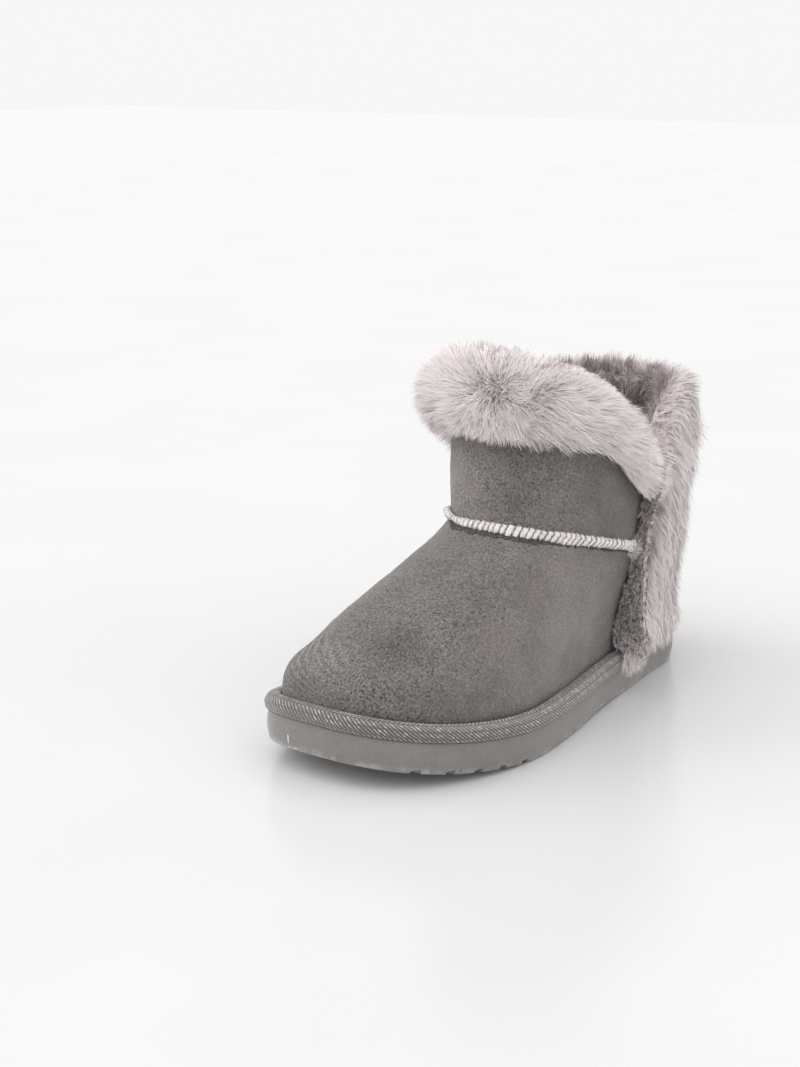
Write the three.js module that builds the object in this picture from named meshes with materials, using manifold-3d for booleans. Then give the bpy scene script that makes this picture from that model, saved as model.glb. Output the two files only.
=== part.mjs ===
// A low winter boot for the left foot: a soft suede-look foot and shaft on a thick rubber sole,
// with a folded fur cuff round the front and a wide fur strip up the back.
// Millimetres, +Z up. The toe points to -Y, and +X is the outer side of the foot. Places along the boot
// are measured from the middle of the sole until the whole is centred at the end.
import * as THREE from 'three';
import Module from 'manifold-3d';

const wasm = await Module();
wasm.setup();

// Sole
const soleLength = 262;
const ballWidth = 107;
const rubberThickness = 15.5;
const toeSpring = 12;
const heelBevel = 2.5;
const archRise = 1;
const edgeRound = 2.2;
const sideBulge = 0.7;

// Tread grooves across the sole, one set under the ball and one from the waist to the heel
const frontGrooves = { count: 5, first: 0.13, pitch: 8.8, width: 3.6, depth: 2.3 };
const rearGrooves = { count: 5, first: 0.442, pitch: 22.3, width: 2.2, depth: 1.5 };

// Woven tape round the foot of the upper
const tapeHeight = 7.2;
const tapeWidth = 6;
const tapeOverhang = 1.3;

// Upper and shaft
const wall = 3;
const ankleHeight = 96;
const ankleSlope = 0.26;
const ankleFront = 0.425;
const shaftWidth = 91;
const collarFront = 171;
const collarDip = 121;
const collarBack = 149;
const insoleThickness = 5;

// Raised seam where foot and shaft are joined
const seamHeight = 5;
const seamDepth = 3;
const seamPitch = 12;

// Fur: the strip's front edges stand behind the middle of the sole and lean back towards the collar
const stripEdge = 42;
const stripLean = 5;
const stripLap = 12;
const stripDepth = 8;
const stripFlare = 9.5;
const stripHang = 9;
const cuffHeight = 30;
const cuffEndHeight = 20;
const cuffDepth = 11;
const furRise = 8;
const furLining = 4;
const lockLength = 17;
const lockRadius = 6.2;
const lumpDepth = 1.2;

// Gap between pieces, and the wider one under fur and seam, which leaves room for the facets
const clearance = 0.3;
const seat = 0.7;
const around = 48;

// Outline of the sole: how far each side reaches from the boot's axis, as shares of the ball width,
// from the toe (along 0) to the heel (along 1)
const outline = [
  { along: 0.0, outer: 0.3, inner: 0.66 },
  { along: 0.14, outer: 0.39, inner: 0.62 },
  { along: 0.3, outer: 0.462, inner: 0.557 },
  { along: 0.44, outer: 0.448, inner: 0.46 },
  { along: 0.58, outer: 0.405, inner: 0.352 },
  { along: 0.72, outer: 0.373, inner: 0.335 },
  { along: 0.86, outer: 0.35, inner: 0.35 },
  { along: 1.0, outer: 0.35, inner: 0.35 },
];

// Levels of the shell. Level 0 is the sole, 1 the ankle seam and 2 the collar. rise is the share of the
// height from sole to seam, front and back are places along the sole, hug is how closely the section
// follows the sole's edge, tuck is how far the sides lie inside that edge as a share of the ball width,
// nose and heel are the lengths of the round ends as shares of the sole's length, blunt is how square
// the front end is, and oval is how far the section has turned from the foot's outline into the shaft's.
const levels = [
  { level: 0.0, rise: 0.0, front: 0.023, back: 0.976, hug: 1, tuck: 0.056, nose: 0.34, heel: 0.14, blunt: 2.9, oval: 0 },
  { level: 0.1, rise: 0.1, front: 0.02, back: 0.976, hug: 1, tuck: 0.05, nose: 0.34, heel: 0.15, blunt: 2.9, oval: 0 },
  { level: 0.2, rise: 0.2, front: 0.035, back: 0.976, hug: 0.5, tuck: 0.05, nose: 0.36, heel: 0.16, blunt: 2.9, oval: 0 },
  { level: 0.32, rise: 0.32, front: 0.077, back: 0.974, hug: 0, tuck: 0.05, nose: 0.38, heel: 0.17, blunt: 2.9, oval: 0.04 },
  { level: 0.44, rise: 0.44, front: 0.13, back: 0.972, hug: 0, tuck: 0.048, nose: 0.4, heel: 0.18, blunt: 2.85, oval: 0.12 },
  { level: 0.56, rise: 0.55, front: 0.188, back: 0.97, hug: 0, tuck: 0.042, nose: 0.41, heel: 0.19, blunt: 2.8, oval: 0.25 },
  { level: 0.68, rise: 0.66, front: 0.252, back: 0.966, hug: 0, tuck: 0.036, nose: 0.4, heel: 0.2, blunt: 2.7, oval: 0.42 },
  { level: 0.8, rise: 0.78, front: 0.318, back: 0.963, hug: 0, tuck: 0.028, nose: 0.37, heel: 0.22, blunt: 2.6, oval: 0.62 },
  { level: 0.9, rise: 0.89, front: 0.377, back: 0.962, hug: 0, tuck: 0.016, nose: 0.33, heel: 0.23, blunt: 2.5, oval: 0.82 },
  { level: 1.0, rise: 1.0, front: ankleFront, back: 0.962, hug: 0, tuck: 0, nose: 0.3, heel: 0.24, blunt: 2.4, oval: 1 },
  { level: 1.25, rise: 1, front: ankleFront + 0.006, back: 0.965, hug: 0, tuck: 0, nose: 0.28, heel: 0.25, blunt: 2.4, oval: 1 },
  { level: 1.5, rise: 1, front: ankleFront + 0.01, back: 0.972, hug: 0, tuck: 0, nose: 0.275, heel: 0.255, blunt: 2.4, oval: 1 },
  { level: 2.0, rise: 1, front: ankleFront + 0.014, back: 0.99, hug: 0, tuck: 0, nose: 0.275, heel: 0.265, blunt: 2.4, oval: 1 },
];

// Height of the collar from its front (part 0) to its back (part 1): it dips where cuff and strip meet
const collar = [
  { part: 0.0, height: collarFront },
  { part: 0.125, height: mix(collarDip, collarFront, 0.9) },
  { part: 0.26, height: mix(collarDip, collarFront, 0.65) },
  { part: 0.4, height: mix(collarDip, collarFront, 0.2) },
  { part: 0.5, height: collarDip },
  { part: 0.58, height: mix(collarDip, collarBack, 0.5) },
  { part: 0.67, height: mix(collarDip, collarBack, 0.93) },
  { part: 0.85, height: collarBack },
  { part: 1.0, height: collarBack },
];

// Sections of the fur on the wall. drop is the distance below the rim as a share of the fur's height
// there, depth the share of the fur's depth off the skin, and lift the share of its rise above the rim.
const cuffSection = [
  { drop: 1.0, depth: 0.4, lift: 0 },
  { drop: 0.86, depth: 0.85, lift: 0 },
  { drop: 0.6, depth: 1.05, lift: 0 },
  { drop: 0.3, depth: 1, lift: 0 },
  { drop: 0.08, depth: 0.82, lift: 0.35 },
];
const stripSection = [
  { level: 0.2, depth: 1 },
  { level: 0.45, depth: 1 },
  { level: 0.75, depth: 1 },
  { level: 1.05, depth: 1 },
  { level: 1.4, depth: 1 },
  { level: 1.75, depth: 0.97 },
  { level: 1.95, depth: 0.85 },
];

// The last rows go over the rim and down inside, where depth is the share of the lining fur's depth
const rimSection = [
  { drop: 0, side: 'outside', depth: 0.35, lift: 0.95 },
  { drop: 0, side: 'inside', depth: 0.1, lift: 0.95 },
  { drop: 0.18, side: 'inside', depth: 1, lift: 0.3 },
  { drop: 0.42, side: 'inside', depth: 0.6, lift: 0 },
];

function mix(a, b, share) {
  return a + (b - a) * share;
}
const clamp = (value, low, high) => Math.min(high, Math.max(low, value));
const toY = (along) => (along - 0.5) * soleLength;
const toAlong = (y) => y / soleLength + 0.5;

// Smooth value of a table's column at a place, by a curve through the rows
function column(rows, key, name, place) {
  const at = clamp(place, rows[0][key], rows[rows.length - 1][key]);
  let i = 0;
  while (i < rows.length - 2 && at > rows[i + 1][key]) i++;
  const before = rows[Math.max(i - 1, 0)];
  const start = rows[i];
  const end = rows[i + 1];
  const after = rows[Math.min(i + 2, rows.length - 1)];
  const step = end[key] - start[key];
  const t = (at - start[key]) / step;
  const slopeIn = (end[name] - before[name]) / (end[key] - before[key]) * step;
  const slopeOut = (after[name] - start[name]) / (after[key] - start[key]) * step;
  const t2 = t * t;
  const t3 = t2 * t;
  return (2 * t3 - 3 * t2 + 1) * start[name] + (t3 - 2 * t2 + t) * slopeIn
    + (3 * t2 - 2 * t3) * end[name] + (t3 - t2) * slopeOut;
}

// Width share of a round end: 0 at its tip and 1 where the end is over
function roundEnd(distance, length, power) {
  const rest = 1 - clamp(distance / length, 0, 1);
  return (1 - rest ** power) ** (1 / power);
}

// Heights of the sole's underside and of the rubber's top at a place along the sole
const springShare = (along) => clamp((0.34 - along) / 0.34, 0, 1) ** 1.9;
function soleBottom(along) {
  const arch = archRise * clamp(1 - ((along - 0.58) / 0.12) ** 2, 0, 1) ** 2;
  return toeSpring * springShare(along) + heelBevel * clamp((along - 0.95) / 0.05, 0, 1) ** 2 + arch;
}
const soleTop = (along) => rubberThickness + toeSpring * springShare(along);

// Point of the sole's edge at a turn of 0..1, from the toe round the outer side, moved inwards by inset
function soleEdge(turn) {
  const angle = 2 * Math.PI * turn;
  const along = (1 - Math.cos(angle)) / 2;
  const outer = column(outline, 'along', 'outer', along) * ballWidth;
  const inner = column(outline, 'along', 'inner', along) * ballWidth;
  const ends = roundEnd(along, 0.34, 3) * roundEnd(1 - along, 0.13, 2.3);
  const side = Math.sin(angle) >= 0 ? 1 : -1;
  const x = (outer - inner) / 2 + side * ends * (outer + inner) / 2;
  return new THREE.Vector2(x, toY(along));
}

function solePoint(turn, inset) {
  const step = 0.004;
  const p = soleEdge(turn);
  const ahead = soleEdge(turn + step).sub(soleEdge(turn - step)).normalize();
  return new THREE.Vector2(p.x - ahead.y * inset, p.y + ahead.x * inset);
}

const ankleLine = (y) => ankleHeight - ankleSlope * (y - toY(ankleFront));
const collarHeight = (part) => column(collar, 'part', 'height', part);

// Point of the boot's outer skin at a level of 0..2 and a turn of 0..1
function skinPoint(level, turn) {
  const angle = 2 * Math.PI * turn;
  const part = (1 - Math.cos(angle)) / 2;
  const value = (name) => column(levels, 'level', name, level);
  const front = toY(value('front'));
  const back = toY(value('back'));
  const freeY = mix(front, back, part);
  const along = toAlong(freeY);
  const halfWidth = (side) => mix(
    column(outline, 'along', side, along) * ballWidth - value('tuck') * ballWidth,
    shaftWidth / 2,
    value('oval'),
  );
  const outer = halfWidth('outer');
  const inner = halfWidth('inner');
  const ends = roundEnd(freeY - front, value('nose') * soleLength, value('blunt'))
    * roundEnd(back - freeY, value('heel') * soleLength, 2.2);
  const side = Math.sin(angle) >= 0 ? 1 : -1;
  const freeX = (outer - inner) / 2 + side * ends * (outer + inner) / 2;
  const close = solePoint(turn, tapeWidth + clearance);
  const x = mix(freeX, close.x, value('hug'));
  const y = mix(freeY, close.y, value('hug'));
  const z = level <= 1
    ? mix(soleTop(toAlong(y)) + clearance, ankleLine(y), value('rise'))
    : mix(ankleLine(y), collarHeight(part), level - 1);
  return new THREE.Vector3(x, y, z);
}

// Point off the skin: out is the distance outwards and lift a rise straight up
function shell(level, turn, out = 0, lift = 0) {
  const step = 0.02;
  const up = skinPoint(Math.min(level + step, 2), turn).sub(skinPoint(Math.max(level - step, 0), turn));
  const ahead = skinPoint(level, turn + step / 3).sub(skinPoint(level, turn - step / 3));
  const p = skinPoint(level, turn).addScaledVector(ahead.cross(up).normalize(), out);
  p.z += lift;
  return p;
}

// Level that lies a distance below the collar at a turn
function levelBelow(turn, drop) {
  const top = skinPoint(2, turn).z;
  const ankle = skinPoint(1, turn).z;
  if (drop <= top - ankle) return 2 - drop / (top - ankle);
  return 1 - (drop - (top - ankle)) / (ankle - skinPoint(0, turn).z);
}

// Place along the boot where the cuff ends and the strip begins, and the turn that reaches it
function furEdge(level) {
  const above = clamp(level - 1, 0, 1);
  return stripEdge + stripLean * Math.min(level, 1) + stripLap * above ** 1.5;
}

function turnAt(level, y) {
  const front = toY(column(levels, 'level', 'front', level));
  const back = toY(column(levels, 'level', 'back', level));
  return Math.acos(1 - 2 * clamp((y - front) / (back - front), 0, 1)) / (2 * Math.PI);
}

// Closed solid from rings of equally many points. Without caps the last ring joins the first, 'tips'
// closes rings that start and end the strip across them at a tip, 'chains' those that end it at an edge.
function ringSolid(rings, caps) {
  const count = rings[0].length;
  const positions = rings.flat().flatMap((p) => [p.x, p.y, p.z]);
  const faces = [];
  for (let r = 0; r < (caps ? rings.length - 1 : rings.length); r++) {
    const a = r * count;
    const b = ((r + 1) % rings.length) * count;
    for (let i = 0; i < count; i++) {
      const j = (i + 1) % count;
      faces.push(a + i, a + j, b + j, a + i, b + j, b + i);
    }
  }
  if (caps) {
    const shift = caps === 'tips' ? 0 : 1;
    const top = (rings.length - 1) * count;
    for (let p = 0, q = count - shift; p + 1 < q; p++, q--) {
      const far = q % count;
      if (p !== far) faces.push(p, far, p + 1, top + p, top + p + 1, top + far);
      if (p + 1 !== q - 1) faces.push(p + 1, far, q - 1, top + p + 1, top + q - 1, top + far);
    }
  }
  return solidFrom(positions, faces);
}

function solidFrom(positions, faces) {
  const make = (order) => new wasm.Manifold(new wasm.Mesh({
    numProp: 3,
    vertProperties: new Float32Array(positions),
    triVerts: new Uint32Array(order),
  }));
  const solid = make(faces);
  if (solid.volume() > 0) return solid;
  const turned = [];
  for (let i = 0; i < faces.length; i += 3) turned.push(faces[i], faces[i + 2], faces[i + 1]);
  return make(turned);
}

function geometryOf(solid) {
  const mesh = solid.getMesh();
  const geometry = new THREE.BufferGeometry();
  geometry.setAttribute('position', new THREE.BufferAttribute(mesh.vertProperties, 3));
  geometry.setIndex(new THREE.BufferAttribute(mesh.triVerts, 1));
  geometry.computeVertexNormals();
  return geometry;
}

// Straight bar across the sole, for a groove
function bar(y, z, width, height) {
  const corners = [[-1, -1], [1, -1], [1, 1], [-1, 1]];
  const ring = (x) => corners.map(([a, b]) => new THREE.Vector3(x, y + a * width / 2, z + b * height / 2));
  return ringSolid([ring(-ballWidth), ring(ballWidth)], 'chains');
}

const turns = Array.from({ length: around }, (_, i) => i / around);
const soleRing = (inset, height) => turns.map((turn) => {
  const p = solePoint(turn, inset);
  return new THREE.Vector3(p.x, p.y, height(toAlong(soleEdge(turn).y)));
});

// Rubber sole with rounded lower edge, slightly full sides and grooves across the tread
function outsoleSolid() {
  const share = (part) => (along) => mix(soleBottom(along) + edgeRound, soleTop(along), part);
  const body = ringSolid([
    soleRing(edgeRound, soleBottom),
    soleRing(edgeRound * 0.3, (along) => soleBottom(along) + edgeRound * 0.3),
    soleRing(0, share(0)),
    soleRing(-sideBulge, share(0.45)),
    soleRing(0, share(0.85)),
    soleRing(sideBulge, soleTop),
  ], 'tips');
  const grooves = [frontGrooves, rearGrooves].flatMap((set) => (
    Array.from({ length: set.count }, (_, i) => {
      const y = toY(set.first) + i * set.pitch;
      return bar(y, soleBottom(toAlong(y)), set.width, set.depth * 2);
    })
  ));
  return body.subtract(wasm.Manifold.union(grooves));
}

// Woven tape: a full, rounded band lying on the rubber's edge round the foot of the upper. With a margin
// it is a jacket round the tape.
function tapeSolid(margin = 0) {
  const inner = tapeWidth - clearance;
  const band = [
    { inset: inner, up: clearance - margin },
    { inset: tapeWidth * 0.1 - margin, up: clearance - margin },
    { inset: -tapeOverhang * 0.8 - margin, up: tapeHeight * 0.2 },
    { inset: -tapeOverhang - margin, up: tapeHeight * 0.5 },
    { inset: -tapeOverhang * 0.2 - margin, up: tapeHeight * 0.8 + margin },
    { inset: tapeWidth * 0.35, up: tapeHeight + margin },
    { inset: inner, up: tapeHeight * 0.9 + margin },
  ];
  return ringSolid(band.map((row) => soleRing(row.inset, (along) => soleTop(along) + row.up)));
}

function insoleSolid() {
  const edge = tapeWidth + wall + 3 * clearance;
  return ringSolid([
    soleRing(edge, (along) => soleTop(along) + clearance),
    soleRing(edge, (along) => soleTop(along) + insoleThickness * 0.75),
    soleRing(edge * 1.15, (along) => soleTop(along) + insoleThickness),
  ], 'tips');
}

// Wall between two levels, open at both ends; the inside needs only every other row. With a margin it
// is a jacket round that wall, which cuts what lies on it.
function wallSolid(low, high, rows, margin = 0) {
  const steps = Array.from({ length: rows + 1 }, (_, i) => mix(low, high, i / rows));
  const lift = (level) => {
    const end = level === high ? 1 : level === low ? -1 : 0;
    return end * (margin - (level === 1 ? clearance / 2 : 0));
  };
  const ring = (level, out) => turns.map((turn) => shell(level, turn, out, lift(level)));
  const outside = steps.map((level) => ring(level, margin));
  const inside = steps.filter((_, i) => i % 2 === 0).map((level) => ring(level, -wall - margin));
  return ringSolid([...outside, ...inside.reverse()]);
}

// Raised seam from strip edge to strip edge round the front, in even puckers
function seamSolid() {
  const end = turnAt(1, furEdge(1) - clearance);
  const length = 2 * (furEdge(1) - toY(ankleFront)) + shaftWidth / 2;
  const columns = 2 * Math.round(length / seamPitch);
  const rings = Array.from({ length: columns + 1 }, (_, i) => {
    const turn = mix(-end, end, i / columns);
    const depth = seamDepth * (i % 2 ? 1 : 0.72);
    const shaftHeight = skinPoint(2, turn).z - skinPoint(1, turn).z;
    const at = (share, out) => shell(levelBelow(turn, shaftHeight - share * seamHeight), turn, out);
    return [at(-0.5, seat), at(-0.3, depth), at(0.3, depth), at(0.5, seat)];
  });
  return ringSolid(rings, 'chains');
}

// One lock of fur: a flat, bent, tapered tuft with its root in the fur's body
function lock(root, direction, length, radius) {
  const side = new THREE.Vector3(0, 0, 1).cross(direction).normalize();
  const over = direction.clone().cross(side).normalize();
  const ring = (share, width, bend) => [0, 1, 2].map((corner) => {
    const angle = Math.PI / 2 + 2 * Math.PI * corner / 3;
    return root.clone()
      .addScaledVector(direction, length * (share - 0.35))
      .addScaledVector(over, length * bend)
      .addScaledVector(side, Math.cos(angle) * radius * width)
      .addScaledVector(over, Math.sin(angle) * radius * width * 0.45);
  });
  return ringSolid([ring(0, 0.7, -0.25), ring(0.45, 1, 0), ring(1, 0.15, -0.12)], 'chains');
}

// Repeatable unevenness between -1 and 1
const uneven = (seed) => 2 * ((Math.abs(Math.sin(seed * 12.9898)) * 43758.5453) % 1) - 1;

// Locks in staggered rows over a fur surface, each lying outwards and down its own way
function locks(rows, columns, surface) {
  return rows.flatMap((row, r) => Array.from({ length: columns }, (_, c) => {
    const seed = r * columns + c + 1;
    const share = (c + 0.5 + (r % 2 ? 0.2 : -0.2) + 0.15 * uneven(seed)) / columns;
    const { root, out } = surface(row.place, share);
    const pitch = row.pitch + 0.25 * uneven(seed + 0.5);
    const direction = new THREE.Vector3(out.x * row.flare, out.y * row.flare, out.z * row.flare + pitch);
    const length = lockLength * row.size * (1 + 0.25 * uneven(seed + 0.25));
    return lock(root, direction.normalize(), length, lockRadius * row.size);
  }));
}

// Chains of the fur over the rim at a turn
function rimChains(turn, height, depth, margin = 0) {
  return rimSection.map((row) => {
    const sign = row.side === 'inside' ? -1 : 1;
    const skin = sign < 0 ? -wall : 0;
    const reach = seat + row.depth * (sign < 0 ? furLining : depth) + margin;
    const level = levelBelow(turn, row.drop * height);
    return {
      inner: shell(level, turn, skin + sign * seat, row.drop ? 0 : seat),
      outer: shell(level, turn, skin + sign * reach, row.lift * (furRise + margin)),
    };
  });
}

// Fullness of a clump of fur at a column and row of the fur's surface
const lump = (column, row) => lumpDepth * ((column + row) % 2 ? 1 : -1) * (0.6 + 0.4 * uneven(column * 7 + row));

const closedSection = (pairs) => [...pairs.map((p) => p.inner), ...pairs.map((p) => p.outer).reverse()];

// Cuff: share 0..1 runs from its inner end round the front to its outer end
const cuffTurn = (level, share) => {
  const end = turnAt(level, furEdge(level));
  return mix(-end, end, share);
};
const cuffHeightAt = (share) => mix(cuffHeight, cuffEndHeight, Math.abs(2 * share - 1) ** 2);

function cuffOuter(row, share) {
  const drop = row.drop * cuffHeightAt(share);
  const level = levelBelow(cuffTurn(1.7, share), drop);
  const turn = cuffTurn(level, share);
  return {
    inner: shell(level, turn, seat),
    outer: shell(level, turn, seat + row.depth * cuffDepth + (row.lump ?? 0), row.lift * furRise),
    skin: shell(level, turn),
  };
}

function cuffSolid() {
  const columns = 20;
  const rings = Array.from({ length: columns + 1 }, (_, i) => {
    const share = i / columns;
    const outside = cuffSection.map((row, r) => cuffOuter({ ...row, lump: lump(i, r) }, share));
    return closedSection([...outside, ...rimChains(cuffTurn(2, share), cuffHeightAt(share), cuffDepth)]);
  });
  const rows = [
    { place: { drop: 0.9, depth: 0.75, lift: 0 }, pitch: -1, flare: 0.25, size: 1 },
    { place: { drop: 0.5, depth: 0.85, lift: 0 }, pitch: -1, flare: 0.45, size: 1 },
    { place: { drop: 0.12, depth: 0.7, lift: 0.3 }, pitch: -0.6, flare: 0.8, size: 1 },
  ];
  const tufts = locks(rows, 12, (place, share) => {
    const at = cuffOuter(place, share);
    return { root: at.outer, out: at.outer.clone().sub(at.skin).normalize() };
  });
  return ringSolid(rings, 'chains').add(wasm.Manifold.union(tufts));
}

// Strip: share 0..1 runs from its outer edge round the heel to its inner edge
const stripDepthAt = (level) => stripDepth + stripFlare * clamp(level / 2, 0, 1) ** 2;

// With a margin the strip is the cutter that clears the ends of the cuff
function stripSolid(margin = 0) {
  const columns = 20;
  const turnOf = (level, share) => {
    const end = turnAt(level, furEdge(level) - margin + clearance);
    return mix(end, 1 - end, share);
  };
  const beyondTape = tapeWidth + clearance + tapeOverhang + seat;
  const rings = Array.from({ length: columns + 1 }, (_, i) => {
    const share = i / columns;
    const edge = 0.7 + 0.3 * roundEnd(Math.min(share, 1 - share), 0.12, 2);
    const low = stripSection[0].level;
    const turn = turnOf(low, share);
    const hang = [
      {
        inner: shell(low, turn, beyondTape, -stripHang),
        outer: shell(low, turn, beyondTape + 2, -stripHang),
      },
      {
        inner: shell(low, turn, beyondTape),
        outer: shell(low, turn, beyondTape + 3, -stripHang * 0.4),
      },
    ];
    const outside = stripSection.map((row, r) => {
      const full = row.depth * edge * stripDepthAt(row.level) + (margin ? margin + lumpDepth : lump(i, r));
      const depth = row.level === low ? Math.max(full, beyondTape + 3) : full;
      return {
        inner: shell(row.level, turnOf(row.level, share), seat),
        outer: shell(row.level, turnOf(row.level, share), seat + depth),
      };
    });
    const rim = rimChains(turnOf(2, share), cuffEndHeight, edge * stripDepthAt(2), margin);
    return closedSection([...hang, ...outside, ...rim]);
  });
  const body = ringSolid(rings, 'chains');
  if (margin) return body;
  const rows = [0.3, 0.7, 1.15, 1.65].map((level) => ({ place: level, pitch: -1, flare: 0.4, size: 1.15 }));
  const tufts = locks(rows, 10, (level, share) => {
    const turn = turnOf(level, mix(0.05, 0.95, share));
    const skin = shell(level, turn);
    const root = shell(level, turn, 0.9 * stripDepthAt(level));
    return { root, out: root.clone().sub(skin).normalize() };
  });
  return body.add(wasm.Manifold.union(tufts));
}

// A piece cut by others, without the loose tips of locks that the cut leaves
function cut(piece, ...cutters) {
  const bodies = piece.subtract(wasm.Manifold.union(cutters)).decompose();
  return bodies.reduce((best, body) => (body.volume() > best.volume() ? body : best));
}

const group = new THREE.Group();

function add(name, solid, finish) {
  const mesh = new THREE.Mesh(geometryOf(solid), new THREE.MeshStandardMaterial(finish));
  mesh.name = name;
  group.add(mesh);
}

const suede = { color: 0x6f6b69, roughness: 0.95, metalness: 0 };
const rubber = { color: 0x77716f, roughness: 0.7, metalness: 0 };
const tape = { color: 0x6b6663, roughness: 0.8, metalness: 0 };
const fleece = { color: 0xcfc7c4, roughness: 1, metalness: 0 };
const fur = { color: 0xb3a8a8, roughness: 1, metalness: 0 };

const footRows = 12;
const shaftRows = 4;
const jacket = wallSolid(0, 1, footRows, clearance).add(wallSolid(1, 2, shaftRows, clearance));
add('outsole', outsoleSolid(), rubber);
add('binding_tape', cut(tapeSolid(), jacket), tape);
add('insole', insoleSolid(), fleece);
add('upper', wallSolid(0, 1, footRows), suede);
add('shaft', wallSolid(1, 2, shaftRows), suede);
add('ankle_seam', cut(seamSolid(), jacket, stripSolid(clearance)), fleece);
add('fur_cuff', cut(cuffSolid(), jacket, stripSolid(clearance)), fur);
add('back_fur_strip', cut(stripSolid(), jacket, tapeSolid(clearance)), fur);

// The origin is on the floor, in the middle of the boot's length and width
const extent = new THREE.Box3().setFromObject(group);
const middle = extent.getCenter(new THREE.Vector3());
group.position.set(-middle.x, -middle.y, -extent.min.z);

export default group;
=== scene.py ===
# Snow boot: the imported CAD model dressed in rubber, woven tape, micro-suede, fleece and fur.
# Tables and geometry are in millimetres in the boot's own frame, where the toe points to -Y, +X is the
# outer side and the middle of the sole is the origin. Meshes are written in metres in the CAD frame.
import math

import bpy
import numpy as np
from bpy.props import FloatProperty, FloatVectorProperty, IntProperty, PointerProperty
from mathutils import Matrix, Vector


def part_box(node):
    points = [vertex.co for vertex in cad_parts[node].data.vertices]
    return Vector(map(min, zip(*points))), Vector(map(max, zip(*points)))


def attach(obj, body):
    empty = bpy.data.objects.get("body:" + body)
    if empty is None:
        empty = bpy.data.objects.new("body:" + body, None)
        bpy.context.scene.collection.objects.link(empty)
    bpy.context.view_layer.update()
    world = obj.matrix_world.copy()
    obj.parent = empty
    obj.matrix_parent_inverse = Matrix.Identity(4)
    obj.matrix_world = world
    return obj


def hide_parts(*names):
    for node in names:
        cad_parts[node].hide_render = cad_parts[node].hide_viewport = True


bl_info = {
    "name": "Snow boot",
    "version": (1, 0, 0),
    "blender": (4, 5, 0),
    "location": "View3D > Sidebar > Snow boot",
    "description": "Dresses the packed snow boot in rubber, woven tape, suede, fleece and fur",
    "category": "Object",
}

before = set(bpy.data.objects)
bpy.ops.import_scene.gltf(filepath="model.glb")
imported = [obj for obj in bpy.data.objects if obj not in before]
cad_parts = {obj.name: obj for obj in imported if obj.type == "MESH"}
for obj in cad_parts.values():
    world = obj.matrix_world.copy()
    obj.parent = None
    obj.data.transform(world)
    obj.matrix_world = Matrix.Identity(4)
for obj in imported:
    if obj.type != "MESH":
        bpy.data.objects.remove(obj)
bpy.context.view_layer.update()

# Metres in a millimetre
MM = 0.001

# Named sizes of the CAD model, in millimetres
SOLE_LENGTH = 262.0
BALL_WIDTH = 107.0
RUBBER_THICKNESS = 15.5
TOE_SPRING = 12.0
HEEL_BEVEL = 2.5
ARCH_RISE = 1.0
EDGE_ROUND = 2.2
SIDE_BULGE = 0.7
TAPE_HEIGHT = 7.2
TAPE_WIDTH = 6.0
TAPE_OVERHANG = 1.3
WALL = 3.0
ANKLE_HEIGHT = 96.0
ANKLE_SLOPE = 0.26
ANKLE_FRONT = 0.425
SHAFT_WIDTH = 91.0
COLLAR_FRONT = 171.0
COLLAR_DIP = 121.0
COLLAR_BACK = 149.0
INSOLE_THICKNESS = 5.0
SEAM_HEIGHT = 5.0
STRIP_EDGE = 42.0
STRIP_LEAN = 5.0
STRIP_LAP = 12.0
STRIP_DEPTH = 8.0
STRIP_FLARE = 9.5
STRIP_HANG = 9.0
CUFF_HEIGHT = 30.0
CUFF_END_HEIGHT = 20.0
CUFF_DEPTH = 11.0
FUR_RISE = 8.0
FUR_LINING = 4.0
CLEARANCE = 0.3
SEAT = 0.7

# Tread grooves. The front ones start nearer the toe and stand wider apart than in the CAD model.
FRONT_GROOVES = {"count": 5, "first": 0.064, "pitch": 13.4, "width": 3.6, "depth": 2.3}
REAR_GROOVES = {"count": 5, "first": 0.442, "pitch": 22.3, "width": 2.2, "depth": 1.5}

# Direction towards the floor
DOWN = np.array([0, 0, -1.0])


def table(names, *rows):
    """Rows of numbers as named columns."""
    return dict(zip(names.split(), np.array(rows, dtype=float).T))


# Outline of the sole: reach of each side from the boot's axis, as shares of the ball width
OUTLINE = table(
    "along outer inner",
    (0.0, 0.3, 0.66),
    (0.14, 0.39, 0.62),
    (0.3, 0.462, 0.557),
    (0.44, 0.448, 0.46),
    (0.58, 0.405, 0.352),
    (0.72, 0.373, 0.335),
    (0.86, 0.35, 0.35),
    (1.0, 0.35, 0.35),
)

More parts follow.
